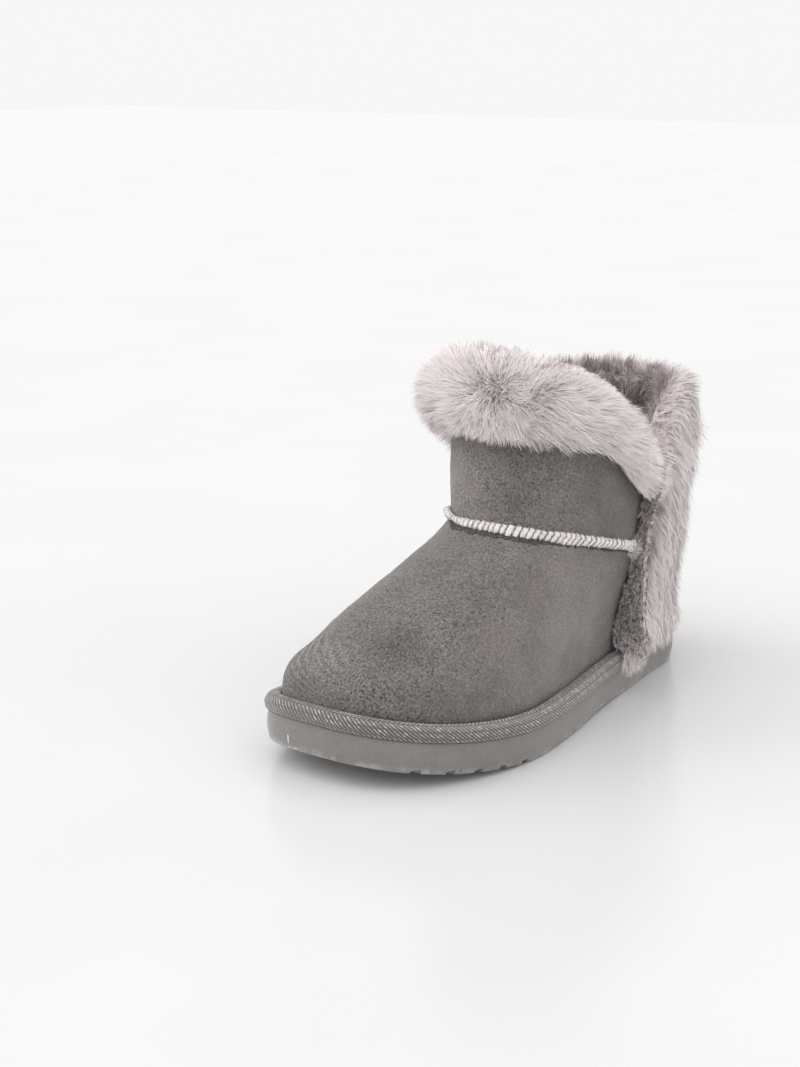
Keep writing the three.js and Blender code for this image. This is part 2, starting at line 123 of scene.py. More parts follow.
# Levels of the shell: 0 is the sole, 1 the ankle seam and 2 the collar
LEVELS = table(
    "level rise front back hug tuck nose heel blunt oval",
    (0.0, 0.0, 0.023, 0.976, 1.0, 0.056, 0.34, 0.14, 2.9, 0.0),
    (0.1, 0.1, 0.02, 0.976, 1.0, 0.05, 0.34, 0.15, 2.9, 0.0),
    (0.2, 0.2, 0.035, 0.976, 0.5, 0.05, 0.36, 0.16, 2.9, 0.0),
    (0.32, 0.32, 0.077, 0.974, 0.0, 0.05, 0.38, 0.17, 2.9, 0.04),
    (0.44, 0.44, 0.13, 0.972, 0.0, 0.048, 0.4, 0.18, 2.85, 0.12),
    (0.56, 0.55, 0.188, 0.97, 0.0, 0.042, 0.41, 0.19, 2.8, 0.25),
    (0.68, 0.66, 0.252, 0.966, 0.0, 0.036, 0.4, 0.2, 2.7, 0.42),
    (0.8, 0.78, 0.318, 0.963, 0.0, 0.028, 0.37, 0.22, 2.6, 0.62),
    (0.9, 0.89, 0.377, 0.962, 0.0, 0.016, 0.33, 0.23, 2.5, 0.82),
    (1.0, 1.0, ANKLE_FRONT, 0.962, 0.0, 0.0, 0.3, 0.24, 2.4, 1.0),
    (1.25, 1.0, ANKLE_FRONT + 0.006, 0.965, 0.0, 0.0, 0.28, 0.25, 2.4, 1.0),
    (1.5, 1.0, ANKLE_FRONT + 0.01, 0.972, 0.0, 0.0, 0.275, 0.255, 2.4, 1.0),
    (2.0, 1.0, ANKLE_FRONT + 0.014, 0.99, 0.0, 0.0, 0.275, 0.265, 2.4, 1.0),
)


def mix(a, b, share):
    return a + (b - a) * share


def ease(value, low, high):
    """0 below low, 1 above high and smooth between."""
    share = np.clip((value - low) / (high - low), 0, 1)
    return share * share * (3 - 2 * share)


# Height of the collar from its front (part 0) to its back (part 1)
COLLAR = table(
    "part height",
    (0.0, COLLAR_FRONT),
    (0.125, mix(COLLAR_DIP, COLLAR_FRONT, 0.9)),
    (0.26, mix(COLLAR_DIP, COLLAR_FRONT, 0.65)),
    (0.4, mix(COLLAR_DIP, COLLAR_FRONT, 0.2)),
    (0.5, COLLAR_DIP),
    (0.58, mix(COLLAR_DIP, COLLAR_BACK, 0.5)),
    (0.67, mix(COLLAR_DIP, COLLAR_BACK, 0.93)),
    (0.85, COLLAR_BACK),
    (1.0, COLLAR_BACK),
)

# Sections of the fur's base, in shares. Cuff: drop below the rim, depth off the skin and lift above the rim.
# Strip: level and depth. Rim: drop, side of the wall (1 outside and -1 inside), depth and lift.
CUFF_ROWS = ((1.0, 0.4, 0.0), (0.86, 0.85, 0.0), (0.6, 1.05, 0.0), (0.3, 1.0, 0.0), (0.08, 0.82, 0.35))
STRIP_ROWS = ((0.2, 1.0), (0.45, 1.0), (0.75, 1.0), (1.05, 1.0), (1.4, 1.0), (1.75, 0.97), (1.95, 0.85))
RIM_ROWS = ((0.0, 1, 0.35, 0.95), (0.0, -1, 0.1, 0.95), (0.18, -1, 1.0, 0.3), (0.42, -1, 0.6, 0.0))


# Shape of the boot


def column(rows, key, name, place):
    """Smooth value of a table's column at a place, by a curve through the rows."""
    keys = rows[key]
    values = rows[name]
    at = np.clip(place, keys[0], keys[-1])
    i = np.clip(np.searchsorted(keys, at, side="left") - 1, 0, len(keys) - 2)
    before = np.maximum(i - 1, 0)
    after = np.minimum(i + 2, len(keys) - 1)
    step = keys[i + 1] - keys[i]
    t = (at - keys[i]) / step
    slope_in = (values[i + 1] - values[before]) / (keys[i + 1] - keys[before]) * step
    slope_out = (values[after] - values[i]) / (keys[after] - keys[i]) * step
    t2 = t * t
    t3 = t2 * t
    start = (2 * t3 - 3 * t2 + 1) * values[i] + (t3 - 2 * t2 + t) * slope_in
    return start + (3 * t2 - 2 * t3) * values[i + 1] + (t3 - t2) * slope_out


def unit(vectors):
    """Vectors made one long."""
    return vectors / np.maximum(np.linalg.norm(vectors, axis=-1, keepdims=True), 1e-9)


def run_along(points):
    """Distance of each point from the first one, along the line of points."""
    return np.concatenate([[0], np.cumsum(np.linalg.norm(np.diff(points, axis=0), axis=1))])


def to_y(along):
    return (along - 0.5) * SOLE_LENGTH


def to_along(y):
    return y / SOLE_LENGTH + 0.5


def along_at(turn):
    """Share of the length, from the toe, at a turn round the boot."""
    return (1 - np.cos(2 * np.pi * turn)) / 2


def turn_of(along):
    """Turn on the outer side at a share of the length."""
    return np.arccos(1 - 2 * along) / (2 * np.pi)


def side_at(turn):
    """1 on the outer side and -1 on the inner side."""
    return np.where(np.sin(2 * np.pi * turn) >= 0, 1, -1)


def round_end(distance, length, power):
    """Width share of a round end: 0 at its tip and 1 where the end is over."""
    rest = 1 - np.clip(distance / length, 0, 1)
    return np.maximum(1 - rest ** power, 0) ** (1 / power)


def spring_share(along):
    """Share of the toe spring."""
    return np.clip((0.34 - along) / 0.34, 0, 1) ** 1.9


def sole_bottom(along):
    """Height of the sole's underside."""
    arch = ARCH_RISE * np.clip(1 - ((along - 0.58) / 0.12) ** 2, 0, 1) ** 2
    bevel = HEEL_BEVEL * np.clip((along - 0.95) / 0.05, 0, 1) ** 2
    return TOE_SPRING * spring_share(along) + bevel + arch


def sole_top(along):
    """Height of the rubber's upper face."""
    return RUBBER_THICKNESS + TOE_SPRING * spring_share(along)


def sole_edge(turn):
    """Edge of the sole at a turn of 0..1, from the toe round the outer side, seen from above."""
    along = along_at(turn)
    outer = column(OUTLINE, "along", "outer", along) * BALL_WIDTH
    inner = column(OUTLINE, "along", "inner", along) * BALL_WIDTH
    ends = round_end(along, 0.34, 3) * round_end(1 - along, 0.13, 2.3)
    x = (outer - inner) / 2 + side_at(turn) * ends * (outer + inner) / 2
    return np.stack([x, to_y(along)], axis=-1)


def sole_point(turn, inset):
    """Edge of the sole moved inwards."""
    ahead = unit(sole_edge(turn + 0.004) - sole_edge(turn - 0.004))
    normal = np.stack([-ahead[..., 1], ahead[..., 0]], axis=-1)
    return sole_edge(turn) + normal * np.asarray(inset)[..., None]


def dense_turns(count):
    """Turns of -0.5..0.5, closer together at the toe, where the outline is blunt."""
    share = np.linspace(-1, 1, count)
    return 0.5 * np.sign(share) * np.abs(share) ** 1.6


def even_turns(count):
    """Turns of -0.5..0.5 that are evenly spaced along the sole's edge."""
    turns = dense_turns(6001)
    run = run_along(sole_point(turns, 0.0))
    return np.interp(np.linspace(0, run[-1], count + 1)[:-1], run, turns)


def ankle_line(y):
    """Height of the ankle seam, which falls towards the heel."""
    return ANKLE_HEIGHT - ANKLE_SLOPE * (y - to_y(ANKLE_FRONT))


def skin_point(level, turn):
    """Point of the boot's outer skin at a level of 0..2 and a turn of 0..1."""
    level, turn = np.broadcast_arrays(level, turn)
    part = along_at(turn)
    value = {name: column(LEVELS, "level", name, level) for name in LEVELS if name != "level"}
    front = to_y(value["front"])
    back = to_y(value["back"])
    free_y = mix(front, back, part)
    along = to_along(free_y)
    widths = []
    for side in ("outer", "inner"):
        foot = (column(OUTLINE, "along", side, along) - value["tuck"]) * BALL_WIDTH
        widths.append(mix(foot, SHAFT_WIDTH / 2, value["oval"]))
    outer, inner = widths
    ends = round_end(free_y - front, value["nose"] * SOLE_LENGTH, value["blunt"])
    ends = ends * round_end(back - free_y, value["heel"] * SOLE_LENGTH, 2.2)
    free_x = (outer - inner) / 2 + side_at(turn) * ends * (outer + inner) / 2
    close = sole_point(turn, TAPE_WIDTH + CLEARANCE)
    x = mix(free_x, close[..., 0], value["hug"])
    y = mix(free_y, close[..., 1], value["hug"])
    low = mix(sole_top(to_along(y)) + CLEARANCE, ankle_line(y), value["rise"])
    high = mix(ankle_line(y), column(COLLAR, "part", "height", part), level - 1)
    return np.stack([x, y, np.where(level <= 1, low, high)], axis=-1)


def shell(level, turn, out=0.0, lift=0.0):
    """Point off the skin: out is the distance outwards and lift a rise straight up."""
    level, turn, out, lift = np.broadcast_arrays(level, turn, out, lift)
    step = 0.02
    up = skin_point(np.minimum(level + step, 2), turn) - skin_point(np.maximum(level - step, 0), turn)
    ahead = skin_point(level, turn + step / 3) - skin_point(level, turn - step / 3)
    point = skin_point(level, turn) + unit(np.cross(ahead, up)) * out[..., None]
    point[..., 2] += lift
    return point


def level_below(turn, drop):
    """Level that lies a distance below the collar."""
    top = skin_point(2.0, turn)[..., 2]
    ankle = skin_point(1.0, turn)[..., 2]
    base = skin_point(0.0, turn)[..., 2]
    above = 2 - drop / (top - ankle)
    below = 1 - (drop - (top - ankle)) / (ankle - base)
    return np.where(drop <= top - ankle, above, below)


def fur_edge(level):
    """Place along the boot where the cuff ends and the strip begins."""
    above = np.clip(level - 1, 0, 1)
    return STRIP_EDGE + STRIP_LEAN * np.minimum(level, 1) + STRIP_LAP * above ** 1.5


def turn_at(level, y):
    """Turn on the outer side where the skin reaches a place along the boot."""
    front = to_y(column(LEVELS, "level", "front", level))
    back = to_y(column(LEVELS, "level", "back", level))
    return turn_of(np.clip((y - front) / (back - front), 0, 1))


def cad_shift():
    """Millimetres from the boot's own frame to the CAD frame."""
    ring = sole_point(np.linspace(0, 1, 481), -SIDE_BULGE)
    low, high = (np.array(corner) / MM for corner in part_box("outsole"))
    middle = (ring.min(axis=0) + ring.max(axis=0)) / 2
    return np.array([*((low + high)[:2] / 2 - middle), 0.0])


SHIFT = cad_shift()


# Meshes


def waves(points, size, seed):
    """Smooth unevenness between about -1 and 1 with bumps of a given size."""
    rng = np.random.default_rng(seed)
    count = 9
    total = np.zeros(points.shape[:-1])
    for _ in range(count):
        direction = unit(rng.normal(size=3)) * 2 * np.pi / (size * rng.uniform(0.7, 1.6))
        total += np.sin(points @ direction + rng.uniform(0, 2 * np.pi))
    return total / math.sqrt(count)


def grid_faces(rows, columns, closed=False):
    """Quads of a grid of points, whose columns run round when it is closed."""
    wide = columns if closed else columns - 1
    r, c = np.meshgrid(np.arange(rows - 1), np.arange(wide), indexing="ij")
    d = (c + 1) % columns
    quads = np.stack([r * columns + c, r * columns + d, (r + 1) * columns + d, (r + 1) * columns + c], -1)
    return quads.reshape(-1, 4)


def make_piece(name, points, quads=None, tris=None, material=None, normals=None, **attributes):
    """Mesh object from points in millimetres of the boot's frame, riding on the boot's one body."""
    mesh = bpy.data.meshes.new(name)
    points = (points.reshape(-1, 3) + SHIFT) * MM
    quads = np.zeros((0, 4), dtype=int) if quads is None else quads
    tris = np.zeros((0, 3), dtype=int) if tris is None else tris
    corners = np.concatenate([quads.ravel(), tris.ravel()]).astype(np.int32)
    sizes = np.concatenate([np.full(len(quads), 4), np.full(len(tris), 3)])
    mesh.vertices.add(len(points))
    mesh.vertices.foreach_set("co", points.astype(np.float32).ravel())
    mesh.loops.add(len(corners))
    mesh.loops.foreach_set("vertex_index", corners)
    mesh.polygons.add(len(sizes))
    mesh.polygons.foreach_set("loop_start", np.concatenate([[0], np.cumsum(sizes)[:-1]]).astype(np.int32))
    mesh.update(calc_edges=True)
    mesh.polygons.foreach_set("use_smooth", np.ones(len(sizes), dtype=bool))
    for key, values in attributes.items():
        layer = mesh.attributes.new(key, "FLOAT", "POINT")
        layer.data.foreach_set("value", np.asarray(values, dtype=np.float32).ravel())
    if normals is not None:
        mesh.normals_split_custom_set_from_vertices(normals.reshape(-1, 3).tolist())
    if material is not None:
        mesh.materials.append(material)
    piece = bpy.data.objects.new(name, mesh)
    bpy.context.scene.collection.objects.link(piece)
    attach(piece, "root")
    return piece


class Patch:
    """Grid of points on a surface, read at shares 0..1 of its rows and columns. With outwards at -1 its
    normals are turned round."""

    def __init__(self, points, outwards=1):
        self.points = points
        self.down = np.gradient(points, axis=0)
        self.across = np.gradient(points, axis=1)
        cross = np.cross(self.across, self.down)
        self.normals = unit(cross) * outwards
        self.area = np.linalg.norm(cross, axis=-1)

    def read(self, values, u, v):
        rows, columns = values.shape[:2]
        x = np.clip(u, 0, 1) * (rows - 1)
        y = np.clip(v, 0, 1) * (columns - 1)
        i = np.minimum(x.astype(int), rows - 2)
        j = np.minimum(y.astype(int), columns - 2)
        a = (x - i)[:, None]
        b = (y - j)[:, None]
        near = values[i, j] * (1 - b) + values[i, j + 1] * b
        far = values[i + 1, j] * (1 - b) + values[i + 1, j + 1] * b
        return near * (1 - a) + far * a

    def scatter(self, count, rng, weight=None):
        """Random shares, evenly spread over the surface."""
        area = self.area[:-1, :-1] * (1 if weight is None else weight[:-1, :-1])
        total = np.cumsum(area.ravel())
        cells = np.searchsorted(total, rng.random(count) * total[-1])
        i, j = np.divmod(cells, area.shape[1])
        return (i + rng.random(count)) / area.shape[0], (j + rng.random(count)) / area.shape[1]

    def roots(self, count, rng, weight=None):
        """Random places on the surface, with their normals and their shares."""
        u, v = self.scatter(count, rng, weight)
        return self.read(self.points, u, v), self.read(self.normals, u, v), u, v


def resample(chain, count):
    """Smooth curve through each chain of points, at evenly spaced places. Chains run along axis 0."""
    rows = chain.shape[0]
    at = np.linspace(0, rows - 1, count)
    i = np.minimum(at.astype(int), rows - 2)
    t = (at - i).reshape(-1, *([1] * (chain.ndim - 1)))
    a = chain[np.maximum(i - 1, 0)]
    b = chain[i]
    c = chain[i + 1]
    d = chain[np.minimum(i + 2, rows - 1)]
    linear = (c - a) * t + (2 * a - 5 * b + 4 * c - d) * t ** 2 + (3 * b - a - 3 * c + d) * t ** 3
    return b + linear / 2


def stray(normal, spread, rng):
    """Random directions round the normals."""
    return unit(normal + rng.normal(scale=spread, size=normal.shape))


def strands(root, start, end, length, steps):
    """Curves that leave their roots in one direction and end in another: (hairs, steps + 1, 3)."""
    points = [root]
    for i in range(steps):
        heading = unit(mix(start, end, (i + 0.5) / steps))
        points.append(points[-1] + heading * (length / steps)[:, None])
    return np.stack(points, axis=1)


def nearest(points, centres):
    """Index of the nearest centre of each point."""
    found = np.empty(len(points), dtype=int)
    for start in range(0, len(points), 4000):
        part = points[start:start + 4000]
        gap = (part ** 2).sum(-1)[:, None] - 2 * part @ centres.T + (centres ** 2).sum(-1)
        found[start:start + 4000] = gap.argmin(axis=1)
    return found


def hair_piece(name, curves, facing, width, material, rng, soft, tone=0.0, pale=0.0):
    """Mesh of thin tapered ribbons along the curves, which face the way that their surface does."""
    count, knots, _ = curves.shape
    steps = knots - 1
    heading = unit(np.gradient(curves, axis=1))
    turned = stray(facing, 0.45, rng)[:, None, :]
    side = unit(np.cross(heading, np.broadcast_to(turned, heading.shape)))
    flat = np.cross(side, heading)
    reach = np.linspace(0, 1, knots)
    taper = np.clip(1.15 - reach, 0, 1) ** 0.7
    half = width[:, None, None] / 2 * taper[None, :, None] * side
    left = (curves - half)[:, :-1]
    right = (curves + half)[:, :-1]
    points = np.empty((count, 2 * steps + 1, 3))
    points[:, 0:-1:2] = left
    points[:, 1:-1:2] = right
    points[:, -1] = curves[:, -1]
    shade = unit(mix(flat, facing[:, None, :], soft))
    normals = np.empty_like(points)
    normals[:, 0:-1:2] = unit(shade[:, :-1] - 0.35 * side[:, :-1])
    normals[:, 1:-1:2] = unit(shade[:, :-1] + 0.35 * side[:, :-1])
    normals[:, -1] = shade[:, -1]
    faces = []
    for i in range(steps - 1):
        a = 2 * i
        faces += [(a, a + 1, a + 3), (a, a + 3, a + 2)]
    faces.append((2 * steps - 2, 2 * steps - 1, 2 * steps))
    tris = np.array(faces)[None] + (np.arange(count) * (2 * steps + 1))[:, None, None]
    places = np.append(np.repeat(reach[:-1], 2), 1.0)
    whole = np.ones((1, 2 * steps + 1))
    pale = np.broadcast_to(pale, count)[:, None]
    return make_piece(
        name,
        points,
        tris=tris.reshape(-1, 3),
        material=material,
        normals=normals,
        reach=pale + (1 - pale) * places,
        strand=rng.random(count)[:, None] * whole,
        tone=np.broadcast_to(tone, count)[:, None] * whole,
    )


# Shader nodes


class Tree:
    """Short way to add and join nodes."""

    def __init__(self, tree):
        self.tree = tree

    def join(self, value, socket):
        self.tree.links.new(value, socket)

    def fill(self, socket, value):
        """Give a socket a plain value, or join it to the socket that the value comes from."""
        if isinstance(value, bpy.types.NodeSocket):
            self.join(value, socket)
        else:
            socket.default_value = value

    def add(self, kind, sockets=None, **settings):
        node = self.tree.nodes.new(kind)
        for key, value in settings.items():
            setattr(node, key, value)
        for key, value in (sockets or {}).items():
            self.fill(node.inputs[key], value)
        return node

    def math(self, operation, *values, clamp=False):
        node = self.add("ShaderNodeMath", dict(enumerate(values)), operation=operation, use_clamp=clamp)
        return node.outputs[0]

    def vector(self, operation, *values):
        sockets = dict(enumerate(values))
        if operation == "SCALE":
            sockets = {0: values[0], "Scale": values[1]}
        node = self.add("ShaderNodeVectorMath", sockets, operation=operation)
        return node.outputs["Value" if operation in ("DOT_PRODUCT", "DISTANCE", "LENGTH") else "Vector"]

    def colour(self, factor, a, b, blend="MIX"):
        node = self.add("ShaderNodeMix", {0: factor, 6: a, 7: b}, data_type="RGBA", blend_type=blend)
        return node.outputs[2]

    def brighten(self, colour, level):
        """Colour made brighter or darker by a number."""
        grey = self.add("ShaderNodeCombineColor", {0: level, 1: level, 2: level}).outputs[0]
        return self.colour(1.0, colour, grey, "MULTIPLY")

    def range(self, value, low, high, to_low=0.0, to_high=1.0):
        """Smooth step from one number to another."""
        sockets = {0: value, 1: low, 2: high, 3: to_low, 4: to_high}
        node = self.add("ShaderNodeMapRange", sockets, interpolation_type="SMOOTHSTEP", clamp=True)
        return node.outputs[0]

    def noise(self, vector, scale, detail=3.0, roughness=0.55):
        sockets = {"Vector": vector, "Scale": scale, "Detail": detail, "Roughness": roughness}
        return self.add("ShaderNodeTexNoise", sockets).outputs[0]

    def attribute(self, name):
        return self.add("ShaderNodeAttribute", attribute_name=name).outputs["Fac"]

    def bump(self, height, strength, distance, normal=None):
        sockets = {"Height": height, "Strength": strength, "Distance": distance}
        if normal is not None:
            sockets["Normal"] = normal
        return self.add("ShaderNodeBump", sockets).outputs[0]

    def surface(self, shader, colour, normal):
        self.join(colour, shader.inputs["Base Color"])
        self.join(normal, shader.inputs["Normal"])

    def group(self, tree, **sockets):
        node = self.tree.nodes.new("ShaderNodeGroup")
        node.node_tree = tree
        for key, value in sockets.items():
            self.fill(node.inputs[key.replace("_", " ")], value)
        return node


def new_group(name, inputs, outputs):
    """Empty node group, with its tree helper, input node and output node."""
    tree = bpy.data.node_groups.new(name, "ShaderNodeTree")
    for label, kind, value in inputs:
        socket = tree.interface.new_socket(label, in_out="INPUT", socket_type="NodeSocket" + kind)
        if value is not None:
            socket.default_value = value
    for label, kind in outputs:
        tree.interface.new_socket(label, in_out="OUTPUT", socket_type="NodeSocket" + kind)
    helper = Tree(tree)
    return helper, helper.add("NodeGroupInput"), helper.add("NodeGroupOutput")


def nap_group():
    """Brushed surface: soft patches, a fine speckle and the height of its grain."""
    found = bpy.data.node_groups.get("Brushed nap")
    if found:
        return found
    t, given, out = new_group(
        "Brushed nap",
        [
            ("Vector", "Vector", None),
            ("Patch Scale", "Float", 20.0),
            ("Grain Scale", "Float", 1500.0),
            ("Deep", "Color", (0.1, 0.1, 0.1, 1)),
            ("Plain", "Color", (0.2, 0.2, 0.2, 1)),
            ("Speckle", "Float", 0.3),
        ],
        [("Color", "Color"), ("Height", "Float")],
    )
    place = given.outputs["Vector"]
    warp = t.add("ShaderNodeTexNoise", {"Vector": place, "Scale": 9.0, "Detail": 2.0}).outputs["Color"]
    moved = t.vector("ADD", place, t.vector("SCALE", warp, 0.02))
    patches = t.noise(moved, given.outputs["Patch Scale"], 4.0, 0.6)
    fine = t.noise(place, given.outputs["Grain Scale"], 1.0, 0.6)
    long_way = t.vector("MULTIPLY", place, (1.0, 0.5, 0.8))
    strokes = t.noise(long_way, given.outputs["Grain Scale"], 3.0, 0.8)
    grain = t.math("ADD", t.math("MULTIPLY", fine, 0.5), t.math("MULTIPLY", strokes, 0.66))
    base = t.colour(t.range(patches, 0.33, 0.62), given.outputs["Deep"], given.outputs["Plain"])
    spread = t.math("MULTIPLY", t.math("SUBTRACT", grain, 0.58), given.outputs["Speckle"])
    level = t.math("ADD", 1.0, t.math("MULTIPLY", spread, 4.0))
    t.join(t.brighten(base, level), out.inputs["Color"])
    t.join(grain, out.inputs["Height"])
    return t.tree


def strand_group():
    """Colour of a hair from its root to its tip, with a difference from hair to hair."""
    found = bpy.data.node_groups.get("Strand colour")
    if found:
        return found
    t, given, out = new_group(
        "Strand colour",
        [
            ("Root", "Color", (0.2, 0.2, 0.2, 1)),
            ("Tip", "Color", (0.8, 0.8, 0.8, 1)),
            ("Shade", "Color", (0.3, 0.25, 0.27, 1)),
            ("Root Length", "Float", 0.5),
            ("Spread", "Float", 0.2),
        ],
        [("Color", "Color")],
    )
    rise = t.range(t.attribute("reach"), 0.02, given.outputs["Root Length"])
    base = t.colour(rise, given.outputs["Root"], given.outputs["Tip"])
    toned = t.colour(t.attribute("tone"), base, given.outputs["Shade"])
    own = t.math("SUBTRACT", t.attribute("strand"), 0.5)
    level = t.math("ADD", 1.0, t.math("MULTIPLY", own, given.outputs["Spread"]))
    t.join(t.brighten(toned, level), out.inputs["Color"])
    return t.tree


def scuff_group():
    """Mask of a thin, broken scratch between two points."""
    found = bpy.data.node_groups.get("Scuff line")
    if found:
        return found
    t, given, out = new_group(
        "Scuff line",
        [
            ("Vector", "Vector", None),
            ("Start", "Vector", (0.0, 0.0, 0.0)),
            ("End", "Vector", (0.0, 0.0, 1.0)),
            ("Width", "Float", 0.001),
        ],
        [("Mask", "Float")],
    )
    line = t.vector("SUBTRACT", given.outputs["End"], given.outputs["Start"])
    away = t.vector("SUBTRACT", given.outputs["Vector"], given.outputs["Start"])
    length = t.math("MAXIMUM", t.vector("DOT_PRODUCT", line, line), 1e-9)
    share = t.math("DIVIDE", t.vector("DOT_PRODUCT", away, line), length, clamp=True)
    gap = t.vector("DISTANCE", away, t.vector("SCALE", line, share))
    rough = t.math("MULTIPLY", t.noise(given.outputs["Vector"], 900.0), given.outputs["Width"])
    far = t.math("DIVIDE", t.math("ADD", gap, rough), given.outputs["Width"])
    t.join(t.range(far, 0.75, 1.3, 1.0, 0.0), out.inputs["Mask"])
    return t.tree


def new_material(name, roughness, **sockets):
    """Material with a Principled shader whose plain numbers are set on the shader itself."""
    material = bpy.data.materials.new(name)
    material.use_nodes = True
    tree = Tree(material.node_tree)
    shader = material.node_tree.nodes["Principled BSDF"]
    shader.inputs["Roughness"].default_value = roughness
    for key, value in sockets.items():
        shader.inputs[key.replace("_", " ")].default_value = value
    return material, tree, shader


def rgba(colour, level=1.0):
    return (colour[0] * level, colour[1] * level, colour[2] * level, 1.0)


def object_place(t):
    return t.add("ShaderNodeTexCoord").outputs["Object"]


def suede_material(settings):
    found = bpy.data.materials.get("brushed micro-suede")
    if found:
        return found
    material, t, shader = new_material("brushed micro-suede", 0.95, Sheen_Weight=0.4, Sheen_Roughness=0.4)
    place = object_place(t)
    run = t.attribute("run")
    rise = t.attribute("rise")
    nap = t.group(
        nap_group(),
        Vector=place,
        Patch_Scale=30.0,
        Grain_Scale=1000.0,
        Deep=rgba(settings.colour, 0.8),
        Plain=rgba(settings.colour, 1.05),
        Speckle=t.math("MULTIPLY", t.attribute("grain"), 1.15),
    )
    knit = t.math("SINE", t.math("ADD", t.math("MULTIPLY", run, 5.4), t.math("MULTIPLY", rise, 3.6)))
    shown = t.range(t.noise(place, 55.0, 2.0), 0.42, 0.62, 0.0, 0.07)
    # The shade attribute holds the nap's patches, partly painted light and shade, and the painted shade just
    # above the tape
    level = t.math("ADD", t.math("ADD", 1.0, t.math("MULTIPLY", knit, shown)), t.attribute("shade"))
    worn = t.range(t.noise(place, 60.0, 3.0), 0.55, 0.75, 0.0, 0.3)
    colour = t.colour(worn, nap.outputs["Color"], rgba((0.2, 0.17, 0.15)))
    across = t.range(t.math("ABSOLUTE", t.math("ADD", run, 18.0)), 12.0, 36.0, 1.0, 0.0)
    between = t.math("MULTIPLY", t.range(rise, 32.0, 40.0), t.range(rise, 52.0, 62.0, 1.0, 0.0))
    near_toe = t.math("MULTIPLY", across, between)
    wander = t.math("MULTIPLY", t.noise(place, 70.0, 3.0), 9.0)
    slant = t.math("ADD", t.math("MULTIPLY", run, 0.7), wander)
    phase = t.math("ADD", t.math("MULTIPLY", rise, 2.4), slant)
    lines = t.math("MULTIPLY", t.math("SINE", phase), near_toe)
    # The toe wrinkles are painted into the colour as well as the bump: painted shade in their troughs and
    # painted light on their crests
    level = t.math("ADD", level, t.math("MULTIPLY", lines, 0.14))
    broad = t.bump(t.noise(place, 150.0, 3.0), 0.25, 0.0008)
    wrinkled = t.bump(lines, 0.8, 0.0009, broad)
    height = t.math("MULTIPLY", nap.outputs["Height"], t.attribute("grain"))
    t.surface(shader, t.brighten(colour, level), t.bump(height, 0.85, 0.0011, wrinkled))
    return material


def strand_material(name, root, tip, shade, root_length, spread):
    """Material of hairs that change colour over a share of their length, and from hair to hair."""
    material, t, shader = new_material(
        name,
        0.75,
        Sheen_Weight=0.25,
        Sheen_Roughness=0.5,
        Specular_IOR_Level=0.25,
    )
    strand = t.group(
        strand_group(),
        Root=rgba(root),
        Tip=rgba(tip),
        Shade=rgba(shade),
        Root_Length=root_length,
        Spread=spread,
    )
    t.join(strand.outputs["Color"], shader.inputs["Base Color"])
    return material


# Settings that a user would change


class SoleSettings(bpy.types.PropertyGroup):
    colour: FloatVectorProperty(
        name="Rubber colour",
        description="Colour of the rubber",
        subtype="COLOR",
        default=(0.2, 0.186, 0.178),
        min=0,
        max=1,
    )
    edge_radius: FloatProperty(
        name="Edge radius",
        description="Radius of the sole's lower edge",
        unit="LENGTH",
        default=EDGE_ROUND * MM,
        min=0.0005,
        max=0.004,
    )


class TapeSettings(bpy.types.PropertyGroup):
    colour: FloatVectorProperty(
        name="Tape colour",
        description="Colour of the woven tape's threads",
        subtype="COLOR",
        default=(0.215, 0.2, 0.19),
        min=0,
        max=1,
    )
    rib_pitch: FloatProperty(
        name="Rib pitch",
        description="Distance from rib to rib along the tape",
        unit="LENGTH",
        default=0.0022,
        min=0.001,
        max=0.004,
    )
    rib_depth: FloatProperty(
        name="Rib depth",
        description="How far the ribs stand out of the tape",
        unit="LENGTH",
        default=0.0005,
        min=0.0,
        max=0.001,
    )


class SuedeSettings(bpy.types.PropertyGroup):
    colour: FloatVectorProperty(
        name="Suede colour",
        description="Colour of the brushed suede-look fabric",
        subtype="COLOR",
        default=(0.168, 0.152, 0.143),
        min=0,
        max=1,
    )
    crease_depth: FloatProperty(
        name="Crease depth",
        description="Depth of a full crease, of which the main ones reach about half",
        unit="LENGTH",
        default=0.001,
        min=0.0,
        max=0.003,
    )


class SeamSettings(bpy.types.PropertyGroup):
    colour: FloatVectorProperty(
        name="Fleece colour",
        description="Colour of the fleece that shows at the seam",
        subtype="COLOR",
        default=(0.93, 0.88, 0.86),
        min=0,
        max=1,
    )
    stitch_pitch: FloatProperty(
        name="Stitch pitch",
        description="Distance from stitch to stitch along the seam",
        unit="LENGTH",
        default=0.003,
        min=0.0012,
        max=0.004,
    )


class LiningSettings(bpy.types.PropertyGroup):
    colour: FloatVectorProperty(
        name="Lining colour",
        description="Colour of the short pile inside",
        subtype="COLOR",
        default=(0.33, 0.285, 0.295),
        min=0,
        max=1,
    )
    pile: FloatProperty(
        name="Pile",
        description="Length of the short pile inside",
        unit="LENGTH",
        default=0.004,
        min=0.001,
        max=0.008,
    )


class FurSettings(bpy.types.PropertyGroup):
    root: FloatVectorProperty(
        name="Root colour",
        description="Colour of the fur at its roots",
        subtype="COLOR",
        default=(0.72, 0.64, 0.64),
        min=0,
        max=1,
    )
    tip: FloatVectorProperty(
        name="Tip colour",
        description="Colour of the long hairs at their tips",
        subtype="COLOR",
        default=(0.92, 0.855, 0.845),
        min=0,
        max=1,
    )
    cuff_length: FloatProperty(
        name="Cuff hair",
        description="Length of the long hairs on the cuff",
        unit="LENGTH",
        default=0.017,
        min=0.006,
        max=0.025,
    )
    strip_length: FloatProperty(
        name="Strip hair",
        description="Length of the long hairs on the back strip",
        unit="LENGTH",
        default=0.017,
        min=0.006,
        max=0.025,
    )
    seed: IntProperty(name="Seed", description="Number that the hairs are drawn from", default=7, min=0)


